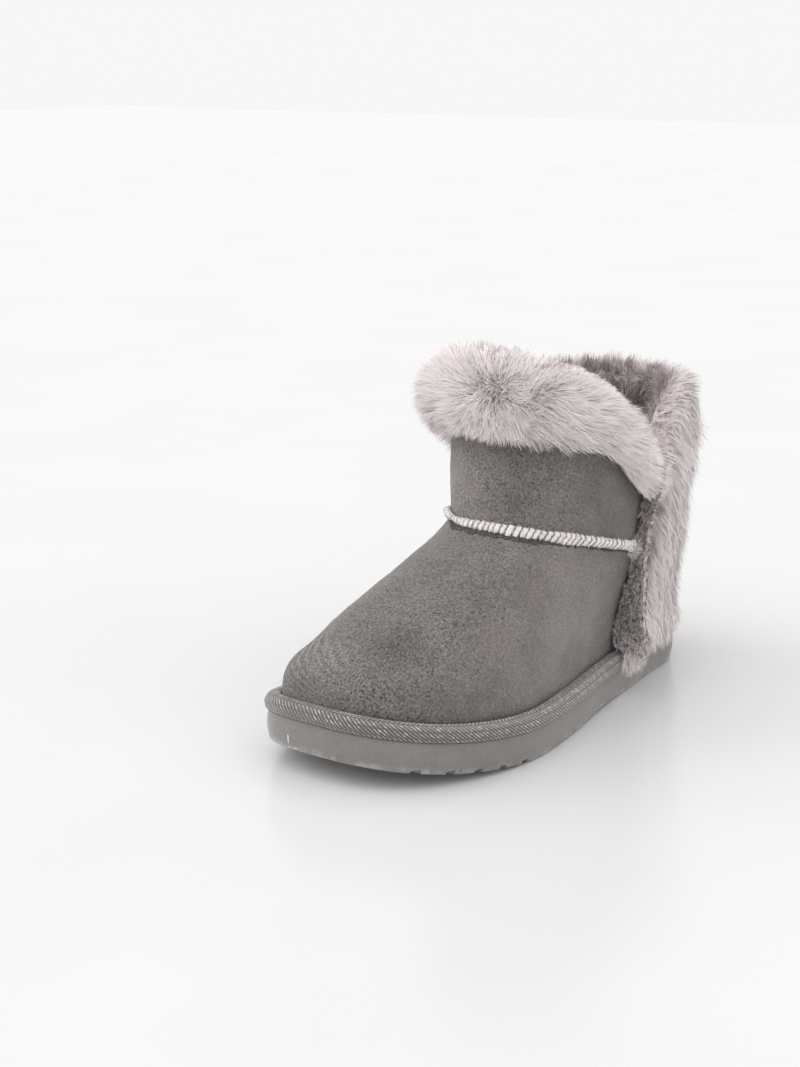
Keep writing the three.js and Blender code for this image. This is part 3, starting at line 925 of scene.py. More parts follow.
class StageSettings(bpy.types.PropertyGroup):
    floor: FloatVectorProperty(
        name="Floor colour",
        description="Colour of the floor",
        subtype="COLOR",
        default=(0.75, 0.75, 0.75),
        min=0,
        max=1,
    )
    key: FloatProperty(
        name="Key light",
        description="Strength of the main light",
        default=0.86,
        min=0,
    )
    ambient: FloatProperty(
        name="Ambient",
        description="Strength of the light all round",
        default=0.66,
        min=0,
    )


# Operators


# Camera fitted to the photo: place in millimetres of the boot's frame, and degrees that it looks down and
# is turned round
CAMERA_PLACE = (439.4, -718.4, 319.4)
CAMERA_DOWN = 15.3645
CAMERA_TURN = 35.003

# Focal length and longer side of the picture in pixels, and the sensor's width in millimetres
FOCAL_PIXELS = 1800
PICTURE_HEIGHT = 1067
SENSOR = 36

# Suns of the studio: name, share of the key light's strength, and size, tilt and heading in degrees
SUNS = (
    ("key light", 1.0, 60, 36, -16),
    ("left light", 1.35, 50, 72, -66),
    ("right light", 0.82, 70, 60, 88),
    ("top light", 0.62, 90, 6, 0),
)


class BOOT_OT_stage(bpy.types.Operator):
    """Floor, backdrop, lights and camera"""

    bl_idname = "boot.stage"
    bl_label = "Stage"

    def execute(self, context):
        settings = context.scene.boot_stage
        self.camera(context)
        self.lights(context, settings)
        self.floor(context, settings)
        context.scene.view_settings.view_transform = "Standard"
        context.scene.view_settings.look = "None"
        return {"FINISHED"}

    def camera(self, context):
        data = bpy.data.cameras.new("camera")
        data.sensor_width = SENSOR
        data.lens = FOCAL_PIXELS * SENSOR / PICTURE_HEIGHT
        data.clip_start = 0.05
        camera = bpy.data.objects.new("camera", data)
        camera.location = (np.array(CAMERA_PLACE) + SHIFT) * MM
        camera.rotation_euler = (math.radians(90 - CAMERA_DOWN), 0, math.radians(CAMERA_TURN))
        context.scene.collection.objects.link(camera)
        context.scene.camera = camera

    def lights(self, context, settings):
        for name, share, angle, tilt, heading in SUNS:
            data = bpy.data.lights.new(name, "SUN")
            data.energy = settings.key * share
            data.angle = math.radians(angle)
            light = bpy.data.objects.new(name, data)
            light.rotation_euler = (math.radians(tilt), 0, math.radians(heading))
            context.scene.collection.objects.link(light)
        world = bpy.data.worlds.new("studio")
        world.use_nodes = True
        t = Tree(world.node_tree)
        background = world.node_tree.nodes["Background"]
        path = t.add("ShaderNodeLightPath").outputs
        seen = t.math("MAXIMUM", path["Is Camera Ray"], path["Is Glossy Ray"])
        t.join(t.range(seen, 0.0, 1.0, settings.ambient, 0.93), background.inputs["Strength"])
        background.inputs["Color"].default_value = (1, 1, 1, 1)
        context.scene.world = world

    def floor(self, context, settings):
        size = 6.0
        mesh = bpy.data.meshes.new("floor")
        corners = [(-size, -size, 0), (size, -size, 0), (size, size, 0), (-size, size, 0)]
        mesh.from_pydata(corners, [], [(0, 1, 2, 3)])
        floor = bpy.data.objects.new("floor", mesh)
        context.scene.collection.objects.link(floor)
        material, t, shader = new_material("glossy pale floor", 0.22)
        cloud = t.range(t.noise(object_place(t), 6.0, 2.0), 0.3, 0.7, 0.975, 1.0)
        t.join(t.brighten(rgba(settings.floor), cloud), shader.inputs["Base Color"])
        mesh.materials.append(material)


# Light scuffs on the rubber: two places (turn, height above the lower edge) and width, in millimetres
SCUFFS = (
    ((-0.0155, 0.2), (-0.015, 7.2), 0.75),
    ((-0.0185, 1.2), (-0.008, 1.6), 1.2),
    ((0.038, 0.3), (0.046, 3.2), 0.8),
    ((0.04, 0.4), (0.052, 0.8), 0.5),
)


class BOOT_OT_rubber_sole(bpy.types.Operator):
    """Rubber sole with rounded edges, stipple, tread grooves and light scuffs"""

    bl_idname = "boot.rubber_sole"
    bl_label = "Rubber sole"

    def execute(self, context):
        settings = context.scene.boot_sole
        radius = settings.edge_radius / MM
        grooves = self.grooves()
        half = self.half_turns(grooves)
        turns = np.concatenate([half, 1 - half[-2:0:-1]])
        count = len(turns)
        along = along_at(turns)
        ceiling = np.full(count, -1.0)
        for y, reach, depth in grooves:
            inside = np.abs(to_y(along) - y) < reach
            ceiling[inside] = sole_bottom(to_along(y)) + depth
        bottom = sole_bottom(along)
        top = sole_top(along)
        corner = np.linspace(0, np.pi / 2, 6)
        rows = [(radius * (1 - math.sin(a)), bottom + radius * (1 - math.cos(a))) for a in corner]
        for part in np.linspace(0.1, 1, 9):
            inset = -SIDE_BULGE * (1 - (part - 0.45) ** 2 / 0.31) * min(1, part * 4)
            rows.append((inset, mix(bottom + radius, top - 1.2, part)))
        rows += [(0.0, top - 0.5), (0.55, top - 0.1), (1.4, top), (TAPE_WIDTH + WALL, top)]
        rings = []
        for inset, height in rows:
            ring = sole_point(turns, inset)
            rings.append(np.column_stack([ring, np.maximum(height, ceiling)]))
        points = np.concatenate(rings)
        pairs = np.array([(i, (count - i) % count) for i in range(len(half))])
        inside, cap = self.under(rings[0], pairs, len(points))
        points = np.concatenate([points, inside])
        piece = make_piece(
            "rubber_sole",
            points,
            np.concatenate([grid_faces(len(rows), count, closed=True), cap]),
            material=self.rubber(settings),
            chalk=self.chalk(turns, len(points)),
        )
        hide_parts("outsole")
        return {"FINISHED"}

    def grooves(self):
        """Tread grooves: place along the boot, half width and depth."""
        rows = []
        for group in (FRONT_GROOVES, REAR_GROOVES):
            first = to_y(group["first"])
            for i in range(group["count"]):
                rows.append((first + i * group["pitch"], group["width"] / 2, group["depth"]))
        return rows

    def half_turns(self, grooves):
        """Turns of the outer side, with two close together at each edge of a groove."""
        count = 341
        gap = 0.0004
        turns = list(dense_turns(count)[count // 2:])
        for y, reach, _ in grooves:
            for edge in (y - reach, y + reach):
                turn = turn_of(to_along(edge))
                turns += [turn - gap, turn + gap]
        return np.unique(np.round(np.clip(turns, 0, 0.5), 6))

    def chalk(self, turns, total):
        """Chalky wear at the toe, and a painted highlight all along the rounded lower edge."""
        worn = 0.35 + 0.65 * np.exp(-((turns + 0.02) / 0.02) ** 2)
        rows = [math.exp(-((row - 4) / 1.6) ** 2) * worn for row in range(7)]
        return np.concatenate([*rows, np.zeros(total - len(rows) * len(turns))])

    def under(self, ring, pairs, start):
        """Underside between the two sides of the ring."""
        share = np.linspace(0, 1, 13)[1:-1]
        outer = ring[pairs[:, 0]]
        inner = ring[pairs[:, 1]]
        rows = outer[:, None, :] + (inner - outer)[:, None, :] * share[None, :, None]
        points = rows.reshape(-1, 3)
        inside = start + np.arange(len(points)).reshape(-1, len(share))
        chains = np.column_stack([pairs[:, 0], inside, pairs[:, 1]])
        here = chains[:-1]
        after = chains[1:]
        faces = np.stack([here[:, :-1], here[:, 1:], after[:, 1:], after[:, :-1]], axis=-1)
        return points, faces.reshape(-1, 4)

    def rubber(self, settings):
        material, t, shader = new_material("grey rubber", 0.5, Sheen_Weight=0.4, Sheen_Roughness=0.4)
        place = object_place(t)
        stipple = t.noise(place, 1300.0, 2.0, 0.6)
        cloud = t.range(t.noise(place, 45.0, 3.0), 0.35, 0.65)
        base = t.colour(cloud, rgba(settings.colour, 0.9), rgba(settings.colour, 1.03))
        base = t.colour(t.range(stipple, 0.5, 0.68, 0.0, 0.3), base, rgba(settings.colour, 1.6))
        base = t.colour(t.range(stipple, 0.3, 0.45, 0.3, 0.0), base, rgba(settings.colour, 0.5))
        dusty = t.range(t.noise(place, 130.0, 4.0, 0.7), 0.42, 0.62)
        # Pale chalky wear at the toe and a painted highlight along the rounded lower edge, with the scuffs
        # on top
        edge = t.math("MULTIPLY", t.math("MULTIPLY", t.attribute("chalk"), dusty), 0.85)
        for start, end, width in SCUFFS:
            line = t.group(
                scuff_group(),
                Vector=place,
                Start=self.on_side(*start),
                End=self.on_side(*end),
                Width=width * MM,
            )
            edge = t.math("MAXIMUM", edge, t.math("MULTIPLY", line.outputs["Mask"], 0.95))
        base = t.colour(edge, base, (0.72, 0.7, 0.69, 1))
        t.surface(shader, base, t.bump(stipple, 0.5, 0.0005))
        return material

    def on_side(self, turn, height):
        """Place on the side of the sole, in metres, at a height above its lower edge in millimetres."""
        spot = sole_point(np.array([turn]), -SIDE_BULGE * 0.8)[0]
        lift = sole_bottom(along_at(turn)) + height
        return tuple((np.array([*spot, lift]) + SHIFT) * MM)


# Rows of thread across the tape, and ribs that a row slants by. The top row slants the other way.
THREAD_ROWS = 4
ROW_SLANT = 1.8
TOP_SLANT = 1.5


class BOOT_OT_welt_tape(bpy.types.Operator):
    """Woven tape with slanting ribs round the foot of the upper"""

    bl_idname = "boot.welt_tape"
    bl_label = "Woven tape"

    def execute(self, context):
        settings = context.scene.boot_tape
        inner = TAPE_WIDTH - CLEARANCE
        profile = np.array([
            (inner, CLEARANCE),
            (TAPE_WIDTH * 0.2, CLEARANCE),
            (-TAPE_OVERHANG * 0.55, TAPE_HEIGHT * 0.09),
            (-TAPE_OVERHANG, TAPE_HEIGHT * 0.3),
            (-TAPE_OVERHANG, TAPE_HEIGHT * 0.52),
            (-TAPE_OVERHANG * 0.3, TAPE_HEIGHT * 0.76),
            (TAPE_WIDTH * 0.2, TAPE_HEIGHT * 0.93),
            (TAPE_WIDTH * 0.5, TAPE_HEIGHT),
            (inner, TAPE_HEIGHT * 0.93),
        ])
        profile = np.concatenate([profile[:1], resample(profile[1:], 22)])
        turns = even_turns(1500)
        edge = sole_point(turns, 0.0)
        length = np.linalg.norm(np.diff(edge, axis=0, append=edge[:1]), axis=1)
        run = np.concatenate([[0], np.cumsum(length)[:-1]])
        ribs = round(float(length.sum()) / (settings.rib_pitch / MM))
        u = run / length.sum() * ribs
        along = along_at(turns)
        rows = []
        v = np.clip((np.arange(len(profile)) - 2) / (len(profile) - 3), 0, 1)
        for k, (inset, up) in enumerate(profile):
            relief = self.weave(u, v[k]) if k > 1 else np.zeros(len(turns))
            tangent = profile[min(k + 1, len(profile) - 1)] - profile[max(k - 1, 0)]
            outwards = np.array([-tangent[1], tangent[0]]) / np.linalg.norm(tangent)
            grow = relief * settings.rib_depth / MM
            spot = sole_point(turns, inset + outwards[0] * grow)
            rows.append(np.column_stack([spot, sole_top(along) + up + outwards[1] * grow]))
        piece = make_piece(
            "welt_tape",
            np.concatenate(rows),
            grid_faces(len(profile), len(turns), closed=True),
            material=self.threads(settings),
            along=np.tile(u, len(profile)),
            across=np.repeat(v, len(turns)),
        )
        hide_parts("binding_tape")
        return {"FINISHED"}

    def weave(self, u, v):
        """Height of the threads: three rows slant one way and the top row the other."""
        row = min(int(v * THREAD_ROWS), THREAD_ROWS - 1)
        part = v * THREAD_ROWS - row
        lower = u + ROW_SLANT * THREAD_ROWS * v
        phase = lower if row < THREAD_ROWS - 1 else u - TOP_SLANT * part + 0.2
        rib = 0.5 + 0.5 * np.cos(2 * np.pi * phase)
        return rib * (0.45 + 0.55 * math.sin(math.pi * part) ** 0.5)

    def threads(self, settings):
        material, t, shader = new_material("woven tape", 0.7, Sheen_Weight=0.7)
        place = object_place(t)
        along = t.attribute("along")
        across = t.math("MULTIPLY", t.attribute("across"), THREAD_ROWS - 0.001)
        row = t.math("FLOOR", across)
        part = t.math("FRACT", across)
        top = t.math("GREATER_THAN", row, THREAD_ROWS - 1.5)
        lower = t.math("ADD", along, t.math("MULTIPLY", across, ROW_SLANT))
        upper = t.math("SUBTRACT", along, t.math("MULTIPLY", part, TOP_SLANT))
        phase = t.math("ADD", lower, t.math("MULTIPLY", top, t.math("SUBTRACT", upper, lower)))
        wander = t.math("MULTIPLY", t.noise(place, 260.0, 2.0), 0.5)
        turned = t.math("MULTIPLY", t.math("ADD", phase, wander), 2 * math.pi)
        rib = t.math("ADD", 0.5, t.math("MULTIPLY", t.math("COSINE", turned), 0.5))
        body = t.math("POWER", t.math("SINE", t.math("MULTIPLY", part, math.pi)), 0.5)
        relief = t.math("MULTIPLY", rib, t.math("ADD", 0.35, t.math("MULTIPLY", body, 0.65)))
        # Painted shade in the recesses between the ribs and painted highlights on their crests, mixed into
        # the thread colour
        ridge = t.range(relief, 0.1, 0.85)
        base = t.colour(ridge, rgba(settings.colour, 0.3), rgba(settings.colour, 1.08))
        painted_glint = t.range(t.noise(place, 420.0, 3.0), 0.45, 0.66, 0.0, 0.8)
        bright = t.math("MULTIPLY", painted_glint, t.range(relief, 0.5, 0.9))
        base = t.colour(bright, base, rgba(settings.colour, 3.4))
        t.surface(shader, base, t.bump(relief, 0.6, 0.0004))
        return material


# Main creases of the suede: two places (level, turn), width in millimetres and share of the crease depth
FOOT_CREASES = (
    ((0.52, 0.03), (0.40, 0.085), 7.0, 0.5),
    ((0.60, 0.10), (0.36, 0.16), 9.0, 0.6),
    ((0.30, 0.17), (0.26, 0.24), 7.0, 0.5),
    ((0.85, 0.16), (0.62, 0.2), 8.0, 0.5),
)

# Suede pieces: name, node, levels that they run between, rows and creases
SUEDE_PIECES = (
    ("suede_foot", "upper", 0.0, 1.0, 104, FOOT_CREASES),
    ("suede_shaft", "shaft", 1.0, 2.0, 44, ()),
)

# Darker and lighter patches of the nap, partly painted light and shade: place (level, turn), radius in
# millimetres, and change of tone
NAP_AND_PAINTED_LIGHT_PATCHES = (
    ((0.335, 0.022), 15.0, -0.23),
    ((0.43, 0.03), 13.0, -0.2),
    ((0.82, 0.0), 16.0, -0.12),
    ((0.655, 0.054), 14.0, -0.14),
    ((0.24, -0.03), 18.0, 0.17),
    ((0.66, 0.167), 26.0, 0.2),
    ((0.4, 0.243), 20.0, 0.24),
    ((1.3, -0.03), 18.0, 0.22),
    ((1.2, 0.1), 20.0, 0.05),
)


def patches(points):
    """Change of tone of the nap, partly painted light and shade."""
    total = np.zeros(points.shape[:-1])
    for place, radius, change in NAP_AND_PAINTED_LIGHT_PATCHES:
        gap = np.linalg.norm(points - skin_point(*place), axis=-1) / radius
        total += change * np.exp(-gap ** 2)
    return total


def creases(points, rows):
    """Soft troughs with a low ridge on each side, along lines between two places of the skin."""
    total = np.zeros(points.shape[:-1])
    for start, end, width, depth in rows:
        a = skin_point(*start)
        b = skin_point(*end)
        line = b - a
        share = np.clip((points - a) @ line / (line @ line), 0, 1)
        gap = np.linalg.norm(points - a - share[..., None] * line, axis=-1) / width
        total += depth * (0.5 * np.exp(-((gap - 1.9) / 0.8) ** 2) - np.exp(-gap ** 2))
    return total


class BOOT_OT_suede(bpy.types.Operator):
    """Suede-look foot and shaft with soft creases"""

    bl_idname = "boot.suede"
    bl_label = "Suede foot and shaft"

    def execute(self, context):
        settings = context.scene.boot_suede
        depth = settings.crease_depth / MM
        material = suede_material(settings)
        columns = 321
        for name, node, low, high, rows, lines in SUEDE_PIECES:
            levels = np.linspace(low, high, rows)
            level, turn = np.meshgrid(levels, dense_turns(columns), indexing="ij")
            skin = skin_point(level, turn)
            out = depth * (creases(skin, lines) + 0.28 * waves(skin, 38, 11) + 0.1 * waves(skin, 13, 12))
            points = shell(level, turn, out)
            run = run_along(skin[rows // 2])
            run = np.broadcast_to(run - run[columns // 2], level.shape)
            grain = mix(1.1, 0.42, ease(run, 15, 75)) * mix(1.0, 0.75, ease(skin[..., 2], 55, 100))
            piece = make_piece(
                name,
                points,
                grid_faces(rows, columns),
                material=material,
                run=run,
                rise=skin[..., 2],
                grain=grain,
                shade=patches(skin) - 0.4 * self.tape_shade(skin),
            )
            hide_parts(node)
            if node == "upper":
                self.lint(points)
        return {"FINISHED"}

    def tape_shade(self, skin):
        """Share of shade just above the tape."""
        above = skin[..., 2] - sole_top(to_along(skin[..., 1])) - TAPE_HEIGHT
        return 1 - ease(above, -0.5, 3.0)

    def lint(self, points):
        """Short pale fibres, most of them where the foot meets the tape."""
        rng = np.random.default_rng(51)
        patch = Patch(points)
        if patch.normals[..., 2].mean() < 0:
            patch.normals = -patch.normals
        weight = np.full(points.shape[:2], 0.12)
        weight[2:14] = 1.0
        root, normal, _, _ = patch.roots(2600, rng, weight)
        start = stray(normal, 0.8, rng)
        finish = stray(normal * 0.3, 1.0, rng)
        curves = strands(root, start, finish, rng.uniform(0.6, 2.0, len(root)), 2)
        material = strand_material(
            "lint fibre",
            root=(0.4, 0.37, 0.35),
            tip=(0.62, 0.58, 0.56),
            shade=(0.2, 0.18, 0.17),
            root_length=0.5,
            spread=0.4,
        )
        tone = rng.uniform(0, 1, len(root))
        piece = hair_piece("suede_lint", curves, normal, np.full(len(root), 0.16), material, rng, 0.6, tone)


class BOOT_OT_lining(bpy.types.Operator):
    """Pile lining inside the walls, pile insole and the short hairs near the collar"""

    bl_idname = "boot.lining"
    bl_label = "Lining"

    def execute(self, context):
        settings = context.scene.boot_lining
        material, t, shader = new_material("short pile", 0.95, Sheen_Weight=0.3)
        place = object_place(t)
        nap = t.group(
            nap_group(),
            Vector=place,
            Patch_Scale=90.0,
            Grain_Scale=420.0,
            Deep=rgba(settings.colour, 0.6),
            Plain=rgba(settings.colour, 1.0),
            Speckle=0.4,
        )
        t.surface(shader, nap.outputs["Color"], t.bump(nap.outputs["Height"], 0.8, 0.002))
        rows = 60
        columns = 180
        level, turn = np.meshgrid(np.linspace(0, 2, rows), np.arange(columns) / columns, indexing="ij")
        out = -WALL + 0.5 + 0.4 * waves(skin_point(level, turn), 9, 21)
        points = shell(level, turn, out)
        faces = grid_faces(rows, columns, closed=True)[:, ::-1]
        piece = make_piece("pile_lining", points, faces, material=material)
        self.insole(material)
        self.pile(settings)
        return {"FINISHED"}

    def insole(self, material):
        """Pile insole with a soft upper edge, from the wall to the middle."""
        count = 180
        turns = np.arange(count) / count
        along = along_at(turns)
        edge = TAPE_WIDTH + WALL
        crown = INSOLE_THICKNESS - 0.1
        rows = [(edge, 0.3), (edge, crown - 0.6), (edge * 1.05, crown - 0.1), (edge * 1.2, crown)]
        rings = [np.column_stack([sole_point(turns, inset), sole_top(along) + up]) for inset, up in rows]
        inner = rings[-1]
        middle = (inner[:, 0] + inner[::-1, 0]) / 2
        centre = np.column_stack([middle, to_y(along) * 0.93, sole_top(along) + crown])
        for share in (0.25, 0.5, 0.75, 0.996):
            ring = inner * (1 - share) + centre * share
            ring[:, 2] = sole_top(along) + crown
            rings.append(ring)
        faces = grid_faces(len(rings), count, closed=True)
        piece = make_piece("pile_insole", np.concatenate(rings), faces, material=material)
        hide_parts("insole")

    def pile(self, settings):
        """Short hairs of the lining from the ankle to the collar."""
        rng = np.random.default_rng(31)
        level, turn = np.meshgrid(np.linspace(0.9, 1.97, 60), np.linspace(0, 1, 200), indexing="ij")
        patch = Patch(shell(level, turn, -WALL + 0.5), outwards=-1)
        root, normal, _, _ = patch.roots(9000, rng)
        lean = stray(normal, 0.5, rng)
        length = settings.pile / MM * rng.uniform(0.7, 1.3, len(root))
        curves = strands(root, lean, unit(lean + 0.6 * DOWN), length, 2)
        material = strand_material(
            "short pile hair",
            root=[c * 0.55 for c in settings.colour],
            tip=settings.colour,
            shade=settings.colour,
            root_length=0.8,
            spread=0.5,
        )
        piece = hair_piece("pile_hair", curves, normal, np.full(len(root), 0.45), material, rng, 0.5)


class BOOT_OT_ankle_seam(bpy.types.Operator):
    """Raised fleece seam with stitches across it and a dark overlocked edge below, darkened further by
    painted shadow
    """

    bl_idname = "boot.ankle_seam"
    bl_label = "Ankle seam"

    def execute(self, context):
        settings = context.scene.boot_seam
        rng = np.random.default_rng(41)
        end = float(turn_at(1.0, fur_edge(1.0) - CLEARANCE))
        count = 760
        turn = np.linspace(-end, end, count)
        spine = shell(1.0, turn, SEAT)
        run = run_along(spine)
        pitch = settings.stitch_pitch / MM
        at = run / pitch + 0.12 * np.sin(run / 7.0) + 0.1 * np.sin(run / 3.1)
        at -= at[0]
        puff = np.abs(np.sin(np.pi * at)) ** 0.75
        own = rng.uniform(0.7, 1.2, int(at[-1]) + 2)[at.astype(int)]
        full = mix(0.72, 1.0, np.clip((turn + 0.02) / 0.05, 0, 1))
        wide = 1.2 * full * (0.92 + 0.12 * np.sin(run / 17.0) * np.sin(run / 5.3 + 1))
        height = SEAM_HEIGHT * wide
        points = []
        rough = 1 + 0.07 * waves(spine, 1.1, 47)
        for angle in np.linspace(0.02, 0.98, 13):
            lift = -0.5 * math.cos(math.pi * angle) * height * (0.87 + 0.2 * puff * own) * rough
            round_out = math.sin(math.pi * angle) ** 0.6
            out = 0.3 + round_out * (1.55 + 1.05 * puff * own) * rough
            points.append(self.on_seam(turn, lift, out))
        points = np.stack(points)
        piece = make_piece(
            "seam_bead",
            points,
            grid_faces(len(points), count),
            material=self.fleece(settings),
            relief=np.tile(puff * own, len(points)),
        )
        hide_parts("ankle_seam")
        self.overlock(turn, at)
        self.fuzz(points, settings, rng)
        return {"FINISHED"}

    def on_seam(self, turn, lift, out):
        """Points above the ankle line and off the skin. The line rises on the inner side of the front."""
        tall = skin_point(2.0, turn)[..., 2] - skin_point(1.0, turn)[..., 2]
        rising = 3.5 * np.clip(-(turn + 0.03) / 0.07, 0, 1) ** 2 * np.clip((turn + 0.2) / 0.05, 0, 1)
        return shell(level_below(turn, tall - lift - rising), turn, out)

    def overlock(self, turn, at):
        """Low dark edge of slanting threads right under the bead, its colour darkened further as painted
        shadow under the bead.
        """
        points = []
        ragged = 0.3 * waves(skin_point(1.0, turn), 2.5, 43)
        for share in np.linspace(0, 1, 5):
            lift = -SEAM_HEIGHT * 0.56 - 1.6 * (1 - share) + 0.6 + ragged
            thread = 0.5 + 0.5 * np.cos(2 * np.pi * (at * 2.2 + share * 1.2))
            out = 0.1 + math.sin(math.pi * share) ** 0.7 * (0.55 + 0.45 * thread)
            points.append(self.on_seam(turn, lift, out))
        material, t, shader = new_material("dark overlock thread with painted shadow", 0.85)
        place = object_place(t)
        strand = t.range(t.noise(place, 1400.0, 2.0), 0.35, 0.65)
        # Very dark thread, partly painted shadow under the bead
        base = t.colour(strand, (0.028, 0.025, 0.023, 1), (0.11, 0.1, 0.095, 1))
        t.surface(shader, base, t.bump(strand, 0.5, 0.0002))
        faces = grid_faces(len(points), len(turn))
        piece = make_piece("overlock_edge", np.stack(points), faces, material=material)

    def fuzz(self, points, settings, rng):
        """Short loose fibres of the fleece, and tufts where the seam meets the fur."""
        patch = Patch(points)
        weight = np.ones(points.shape[:2])
        end = 16
        weight[:, :end] = 6
        weight[:, -end:] = 6
        root, normal, _, v = patch.roots(6000, rng, weight)
        length = rng.uniform(0.6, 1.3, len(root))
        near_end = np.minimum(v, 1 - v) < 0.02
        length = np.where(near_end, length * 4.5, length)
        start = stray(normal, 0.7, rng)
        finish = stray(normal, 1.0, rng)
        curves = strands(root, start, finish, length, 2)
        material = strand_material(
            "fleece fibre",
            root=[c * 0.8 for c in settings.colour],
            tip=settings.colour,
            shade=settings.colour,
            root_length=0.6,
            spread=0.2,
        )
        piece = hair_piece("seam_fuzz", curves, normal, np.where(near_end, 0.36, 0.24), material, rng, 0.7)

    def fleece(self, settings):
        material, t, shader = new_material("stitched fleece", 0.95, Sheen_Weight=0.3)
        place = object_place(t)
        curl = t.noise(place, 900.0, 3.0, 0.65)
        # Painted shade: the gaps between the puffs are painted dark
        puff = t.range(t.attribute("relief"), 0.3, 0.7)
        base = t.colour(puff, rgba(settings.colour, 0.12), rgba(settings.colour, 1.0))
        base = t.colour(t.range(curl, 0.35, 0.6, 0.3, 0.0), base, rgba(settings.colour, 0.65))
        t.surface(shader, base, t.bump(curl, 0.7, 0.0006))
        return material


# Fur


def rim_chain(turn, height, depth, full):
    """Base of the fur over the rim and down inside, at a turn."""
    rows = []
    for drop, sign, share, lift in RIM_ROWS:
        skin = -WALL if sign < 0 else 0.0
        reach = SEAT + share * (FUR_LINING if sign < 0 else depth) * full
        level = level_below(turn, drop * height)
        rows.append(shell(level, turn, skin + sign * reach, lift * FUR_RISE * full))
    return rows


# Hairs of the fur: name, count, steps of a hair, share of the full length, hold of a lock on its tufts,
# count of locks, and narrowest and widest hair in millimetres
CUFF_HAIRS = (
    ("cuff_fur", 28000, 4, 1.0, 0.72, 520, (0.19, 0.31)),
    ("cuff_underfur", 24000, 2, 0.62, 0.5, 900, (0.26, 0.4)),
)
STRIP_HAIRS = (
    ("strip_fur", 28000, 4, 1.0, 0.5, 800, (0.22, 0.38)),
    ("strip_underfur", 26000, 2, 0.6, 0.35, 1300, (0.34, 0.5)),
)

# Hairs in a tuft, hold of a tuft on them, and reach of a lock and of a tuft in millimetres
TUFT_HAIRS = 9
TUFT_HOLD = 0.8
LOCK_REACH = 7.0
TUFT_REACH = 2.5

# Size of the soft waves in a hair, in millimetres
FRIZZ = 0.5

# Share of the fur's depth that its backing takes up, with the hairs standing on it
CUFF_BACKING = 0.5
STRIP_BACKING = 0.42

# Shares from end to end that the cuff's backing runs between
CUFF_SPAN = (0.004, 0.996)


def cuff_turn(level, share):
    """Turn at a share from the cuff's inner end to its outer one."""
    end = turn_at(level, fur_edge(level))
    return mix(-end, end, share)


def cuff_height(share):
    """Height of the cuff's backing at a share from end to end."""
    return mix(CUFF_HEIGHT - 1.5, CUFF_END_HEIGHT - 4.5, np.abs(2 * share - 1) ** 2)


def cuff_surface(full, columns=200, rows=64):
    """Base of the cuff's fur, as a grid from its lower edge over the rim, by share from end to end."""
    share = np.linspace(*CUFF_SPAN, columns)
    height = cuff_height(share)
    chain = []
    for drop, depth, lift in CUFF_ROWS:
        level = level_below(cuff_turn(1.7, share), drop * height)
        turn = cuff_turn(level, share)
        chain.append(shell(level, turn, SEAT + depth * CUFF_DEPTH * full, lift * FUR_RISE * full))
    chain += rim_chain(cuff_turn(2.0, share), height, CUFF_DEPTH, full)
    return resample(np.stack(chain), rows)


def strip_turn(level, share):
    """Turn at a share from the strip's outer edge to its inner one."""
    end = turn_at(level, fur_edge(level) + CLEARANCE)
    return mix(end, 1 - end, share)


def strip_depth(level):
    """Depth of the strip's fur, which flares towards the collar."""
    return STRIP_DEPTH + STRIP_FLARE * np.clip(level / 2, 0, 1) ** 2


def strip_chains(share, full):
    """Chains of points up the strip's skin side and up its fur side, at shares from edge to edge."""
    edge = 0.7 + 0.3 * round_end(np.minimum(share, 1 - share), 0.12, 2)
    beyond = TAPE_WIDTH + CLEARANCE + TAPE_OVERHANG + SEAT
    low = STRIP_ROWS[0][0]
    turn = strip_turn(low, share)
    inner = [shell(low, turn, beyond, -STRIP_HANG * full), shell(low, turn, beyond)]
    outer = [
        shell(low, turn, beyond + 1.5 * full, -STRIP_HANG * full),
        shell(low, turn, beyond + 3 * full, -STRIP_HANG * 0.4),
    ]
    for level, depth in STRIP_ROWS:
        turn = strip_turn(level, share)
        reach = depth * edge * strip_depth(level) * full
        reach = np.maximum(reach, (beyond + 3 * full) * (1 - (level - low) / 1.2))
        inner.append(shell(level, turn, SEAT))
        outer.append(shell(level, turn, SEAT + reach))
    rim = rim_chain(strip_turn(2.0, share), CUFF_END_HEIGHT, edge * strip_depth(2.0), full)
    return inner, outer + rim


def fur_base(name, node, grid, material, tone):
    """Backing of one colour that the hairs stand on."""
    rows, columns, _ = grid.shape
    whole = np.ones(rows * columns)
    piece = make_piece(
        name,
        grid,
        grid_faces(rows, columns),
        material=material,
        reach=0.45 * whole,
        tone=tone * whole,
        strand=0.5 * whole,
    )
    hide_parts(node)


def gather(root, curve, centre, lead, hold, size, rng):
    """Curves drawn towards the nearest leading curve, more so towards their tips."""
    near = nearest(root, centre)
    share = np.linspace(0, 1, curve.shape[1])[None, :, None]
    gap = np.linalg.norm(root - centre[near], axis=1)[:, None, None]
    pull = hold * rng.uniform(0.5, 1.0, (len(root), 1, 1)) * share ** 1.2 / (1 + (gap / size) ** 2)
    return curve + (lead[near] - curve) * pull


def curl(curve, size, rng):
    """Curves with a soft wave of their own."""
    count, knots, _ = curve.shape
    share = np.linspace(0, 1, knots)[None, :, None]
    turn = rng.uniform(0, 2 * np.pi, (count, 1, 1))
    return curve + size * unit(rng.normal(size=(count, 1, 3))) * np.sin(share * 5.0 + turn) * share


def drift(points, seed):
    """Uneven combing: directions that wander slowly over the surface, and a little from lock to lock."""
    slow = np.stack([waves(points, 26, seed + i) for i in range(3)], axis=-1)
    quick = np.stack([waves(points, 9, seed + 3 + i) for i in range(3)], axis=-1)
    return 0.22 * slow + 0.2 * quick


